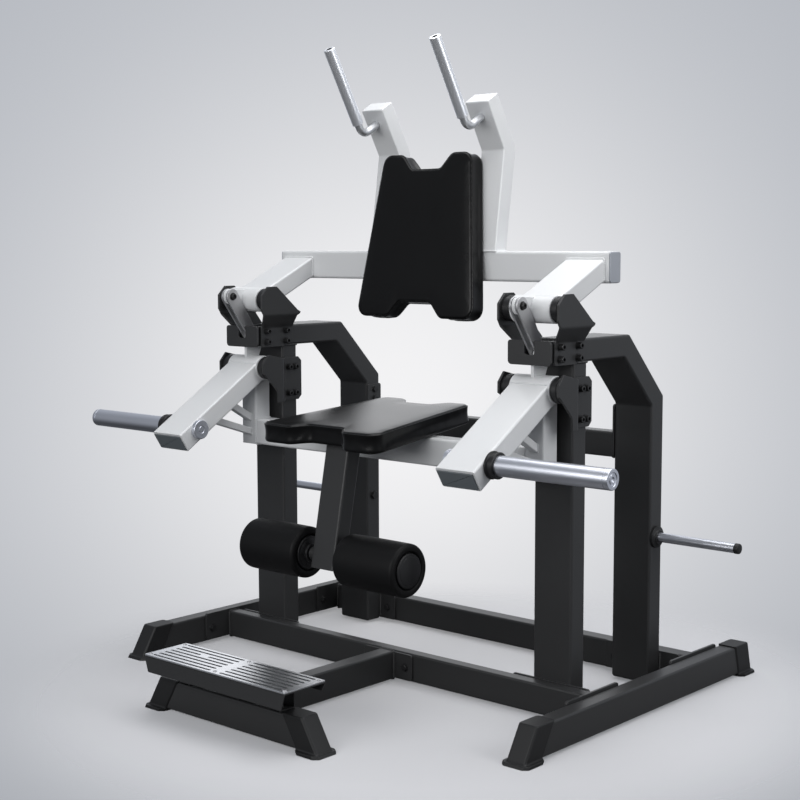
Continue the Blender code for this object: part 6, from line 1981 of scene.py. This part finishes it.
    def stitched(self, rings: Array) -> Array:
        """The rings with the seam sewn in and soft wrinkles in the side.

        Across the profile the seam is a groove -d exp(-(s / w)^2) with puckers along it; the wrinkles are a
        few slanted waves of 35 to 90 mm, strongest half way up the side.
        """
        normals, side_row = grid_normals(rings), len(self.profile()) // 2
        outward = np.sign((normals[side_row] * (rings[side_row] - rings.mean(axis=(0, 1)))).sum())
        run = run_along(rings[:, 0])[:, None]
        around = np.arange(rings.shape[1])[None, :] * self.step
        total = rings.shape[1] * self.step
        chance = np.random.default_rng(self.seed)
        wrinkle = np.zeros(rings.shape[:2])
        for waves in range(*(int(total / length) for length in self.wave_lengths), 3):
            phase, slant = chance.uniform(0, 2 * math.pi), chance.uniform(-self.wave_slant, self.wave_slant)
            wrinkle += np.sin(2 * math.pi * waves * around / total + slant * run + phase)
        side = np.exp(-(((run - run[side_row]) / self.wave_spread) ** 2))
        groove = np.exp(-(((run - run[self.seam_row]) / self.seam_width) ** 2))
        pucker = 1 + self.pucker * np.sin(2 * math.pi * around / self.stitch)
        height = self.wrinkle * wrinkle * side / 3 - self.seam_depth * groove * pucker
        return rings + outward * height[..., None] * normals

    def build(self) -> None:
        """The finished pad."""
        rings = self.rings()
        rings = self.swollen(rings)
        mesh = Form().grid(self.stitched(rings)).mesh(self.title)
        piece = present(mesh, self.title, VINYL, self.body, self.node)


def vertex_points(mesh: bpy.types.Mesh) -> Array:
    """The mesh's vertices as an array."""
    flat = np.empty(3 * len(mesh.vertices))
    mesh.vertices.foreach_get("co", flat)
    return flat.reshape(-1, 3)


def back_pad(plan: Plan, upright: Upright) -> Pad:
    """The pad on the front of the uprights."""
    along = np.array((0.0, math.sin(upright.lean), math.cos(upright.lean)))
    normal = np.array((0.0, -math.cos(upright.lean), math.sin(upright.lean)))
    foot = np.array((0.0, *upright.line()[0]))
    basis = Basis(foot - upright.pad_drop * along + plan.gap * normal, X, along, normal)
    return Pad("back_cushion", "back_pad", Rides.UPPER, basis, first_half=0.219, second_half=0.162,
               length=0.464, first_notch=0.0565, second_notch=0.050, fill=0.0010, wrinkle=0.0002, seed=3)


def seat_pad(plan: Plan, seat: SeatFrame) -> Pad:
    """The pad on the spine, wider in front."""
    along = np.array((0.0, math.cos(plan.seat_tilt), math.sin(plan.seat_tilt)))
    normal = np.array((0.0, -math.sin(plan.seat_tilt), math.cos(plan.seat_tilt)))
    front = plan.hanger_front - seat.pad_forward
    basis = Basis(np.array((0.0, front, seat.plane(front))), X, along, normal)
    return Pad("seat_cushion", "seat_pad", Rides.LOWER, basis, first_half=0.217, second_half=0.162,
               length=0.462, first_notch=0.060, second_notch=0.044, fill=0.0010, wrinkle=0.00012, seed=8)


@dataclass(frozen=True)
class Studio:
    """The floor, the light and the camera, as in the photograph."""

    focal: float = 1502.11
    pixels: float = 800.0
    location: tuple[float, float, float] = (2.76597, -3.09799, 1.22099)
    yaw: float = 0.7289
    pitch: float = 0.1078
    roll: float = -0.003
    shift: tuple[float, float] = (0.0018, 0.0064)
    floor_radius: float = 5.0
    floor_tone: float = 0.73
    floor_bounce: float = 0.22
    floor_tint: Colour = (1.0, 1.0, 1.03)
    floor_shares: tuple[float, float] = (0.99, 1.01)
    fade_centre: tuple[float, float, float] = (0.12, 0.0, 0.0)
    fade_start: float = 0.80
    fade_end: float = 1.30
    fade_least: float = 0.30
    low_dark: float = 0.14
    low_range: tuple[float, float] = (0.12, 0.40)
    centre_tone: Colour = (0.895, 0.893, 0.905)
    edge_tone: Colour = (0.44, 0.462, 0.505)
    glow: float = 0.028
    ambient: float = 0.55
    front_dark: float = 0.40
    front_range: tuple[float, float] = (-0.3, 0.5)
    below_dark: float = 0.85
    below_range: tuple[float, float] = (-0.05, 0.6)

    def forward(self) -> Array:
        """The camera's direction."""
        level = math.cos(self.pitch)
        return np.array((-math.sin(self.yaw) * level, math.cos(self.yaw) * level, -math.sin(self.pitch)))

    def build(self) -> None:
        """Camera, floor, world and lamps."""
        self.camera()
        self.floor()
        self.world()
        self.lamp("overhead", (0.4, 0.3, 2.7), (0.1, 0.1, 0.6), (2.4, 2.2), 46.0)
        self.lamp("front", (0.1, -3.8, 1.8), (0.0, 0.0, 0.9), (3.0, 1.6), 68.0)
        self.lamp("right", (3.5, 0.5, 2.0), (0.0, 0.0, 0.8), (1.6, 2.0), 42.0)
        self.lamp("edge", (2.3, -3.6, 2.1), (0.1, 0.0, 0.8), (0.4, 1.4), 14.0)
        self.lamp("rear left", (-2.5, 2.9, 1.9), (0.0, 0.0, 0.8), (2.6, 1.6), 14.0)

    def camera(self) -> None:
        """The camera that took the photograph."""
        forward = self.forward()
        right = unit(np.cross(forward, Z))
        up = np.cross(right, forward)
        cos, sin = math.cos(self.roll), math.sin(self.roll)
        columns = (cos * right + sin * up, cos * up - sin * right, -forward)
        data = bpy.data.cameras.new("camera")
        data.sensor_width = 36.0
        data.lens = self.focal / self.pixels * data.sensor_width
        data.shift_x, data.shift_y = self.shift
        eye = added("camera", data)
        turn = Matrix(np.stack(columns, axis=1).tolist()).to_4x4()
        eye.matrix_world = Matrix.Translation(self.location) @ turn
        bpy.context.scene.camera = eye

    def floor(self) -> None:
        """A pale disc that keeps the shadow near the machine and clears with distance."""
        rim = self.floor_radius * np.pad(circle(96), ((0, 0), (0, 1)))
        mesh = bpy.data.meshes.new("floor")
        mesh.from_pydata(rim.tolist(), [], [tuple(range(96))])
        disc = added("floor", mesh)
        found = bpy.data.materials.new("pale floor")
        found.use_nodes = True
        graph = Graph(found.node_tree)
        at, tint = graph.place(), self.floor_tint
        reach = graph.vector_maths("DISTANCE", at, self.fade_centre)
        seen = graph.add("ShaderNodeLightPath", output="Is Camera Ray")
        tones = (opaque(tint, self.floor_tone * share) for share in self.floor_shares)
        pale = graph.mix(graph.noise(at, 5.0, 3.0), *tones)
        colour = graph.mix(seen, opaque(tint, self.floor_bounce), pale)
        paper = graph.add("ShaderNodeBsdfDiffuse", None, {"Color": colour})
        clear = graph.add("ShaderNodeBsdfTransparent")
        least = self.fade_least * seen
        fade = least + (1 - least) * reach.between(self.fade_start, self.fade_end)
        surface = graph.add("ShaderNodeMixShader", None, {0: fade, 1: paper, 2: clear})
        graph.add("ShaderNodeOutputMaterial", None, {"Surface": surface})
        mesh.materials.append(found)

    def world(self) -> None:
        """Soft white light from all round, and the photograph's backdrop where it is looked at."""
        world = bpy.data.worlds.new("studio")
        world.use_nodes = True
        bpy.context.scene.world = world
        graph = Graph(world.node_tree)
        way = graph.add("ShaderNodeTexCoord", output="Generated")
        dot = "DOT_PRODUCT"
        glow = graph.maths("EXPONENT", (graph.vector_maths(dot, way, tuple(self.forward())) - 1) / self.glow)
        backdrop = graph.mix(glow, opaque(self.edge_tone), opaque(self.centre_tone))
        front = graph.vector_maths(dot, way, (0.0, -1.0, 0.0)).between(*self.front_range)
        down = graph.vector_maths(dot, way, (0.0, 0.0, -1.0))
        below = down.between(*self.below_range)
        camera, glossy, through = (graph.add("ShaderNodeLightPath", output=f"Is {name} Ray")
                                   for name in ("Camera", "Glossy", "Transmission"))
        seen = graph.maths("MAXIMUM", camera, through)
        dark = (1 - self.front_dark * front) * (1 - self.below_dark * below)
        studio = (self.ambient + (1 - self.ambient) * glossy) * dark
        strength = seen * (1 - self.low_dark * down.between(*self.low_range)) + (1 - seen) * studio
        light = graph.add("ShaderNodeBackground", None, {"Color": backdrop, "Strength": strength})
        graph.add("ShaderNodeOutputWorld", None, {"Surface": light})
        bpy.context.scene.view_settings.view_transform = "Standard"

    def lamp(self, name: str, place: Sequence[float], target: Sequence[float], size: tuple[float, float],
             power: float) -> None:
        """A soft box that faces a target."""
        data = bpy.data.lights.new(name, "AREA")
        data.shape, data.energy = "RECTANGLE", power
        data.size, data.size_y = size
        box = added(name, data)
        way = Vector(place) - Vector(target)
        box.matrix_world = Matrix.Translation(place) @ way.to_track_quat("Z", "Y").to_matrix().to_4x4()
        box.visible_camera = False


def main() -> None:
    """Builds the machine from the floor up, then the studio."""
    logging.basicConfig(level=logging.INFO, format="%(message)s")
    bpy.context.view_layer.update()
    plan, seat, upright = Plan(), SeatFrame(), Upright()
    members = [CrossMember(title=title, front=front, rear=rear) for title, (front, rear) in
               (("front_cross_member", plan.front_member), ("rear_cross_member", plan.rear_member))]
    for whole in (*members, Step(), RearBeam(), UpperBeam(), seat, RollerSet(), back_pad(plan, upright),
                  seat_pad(plan, seat)):
        whole.build()
        LOG.info("built %s", type(whole).__name__)
    for side in Side:
        for sided in (FloorRails(), Post(), Yoke(), LowerBracket(), UpperArm(), upright, Link(), WeightArm()):
            sided.build(side)
            LOG.info("built %s %s", type(sided).__name__, side.word)
        for word, level in (("upper", plan.upper_z), ("lower", plan.lower_z)):
            Axle().build(side, word, level)
    Studio().build()


if __name__ == "__main__":
    main()
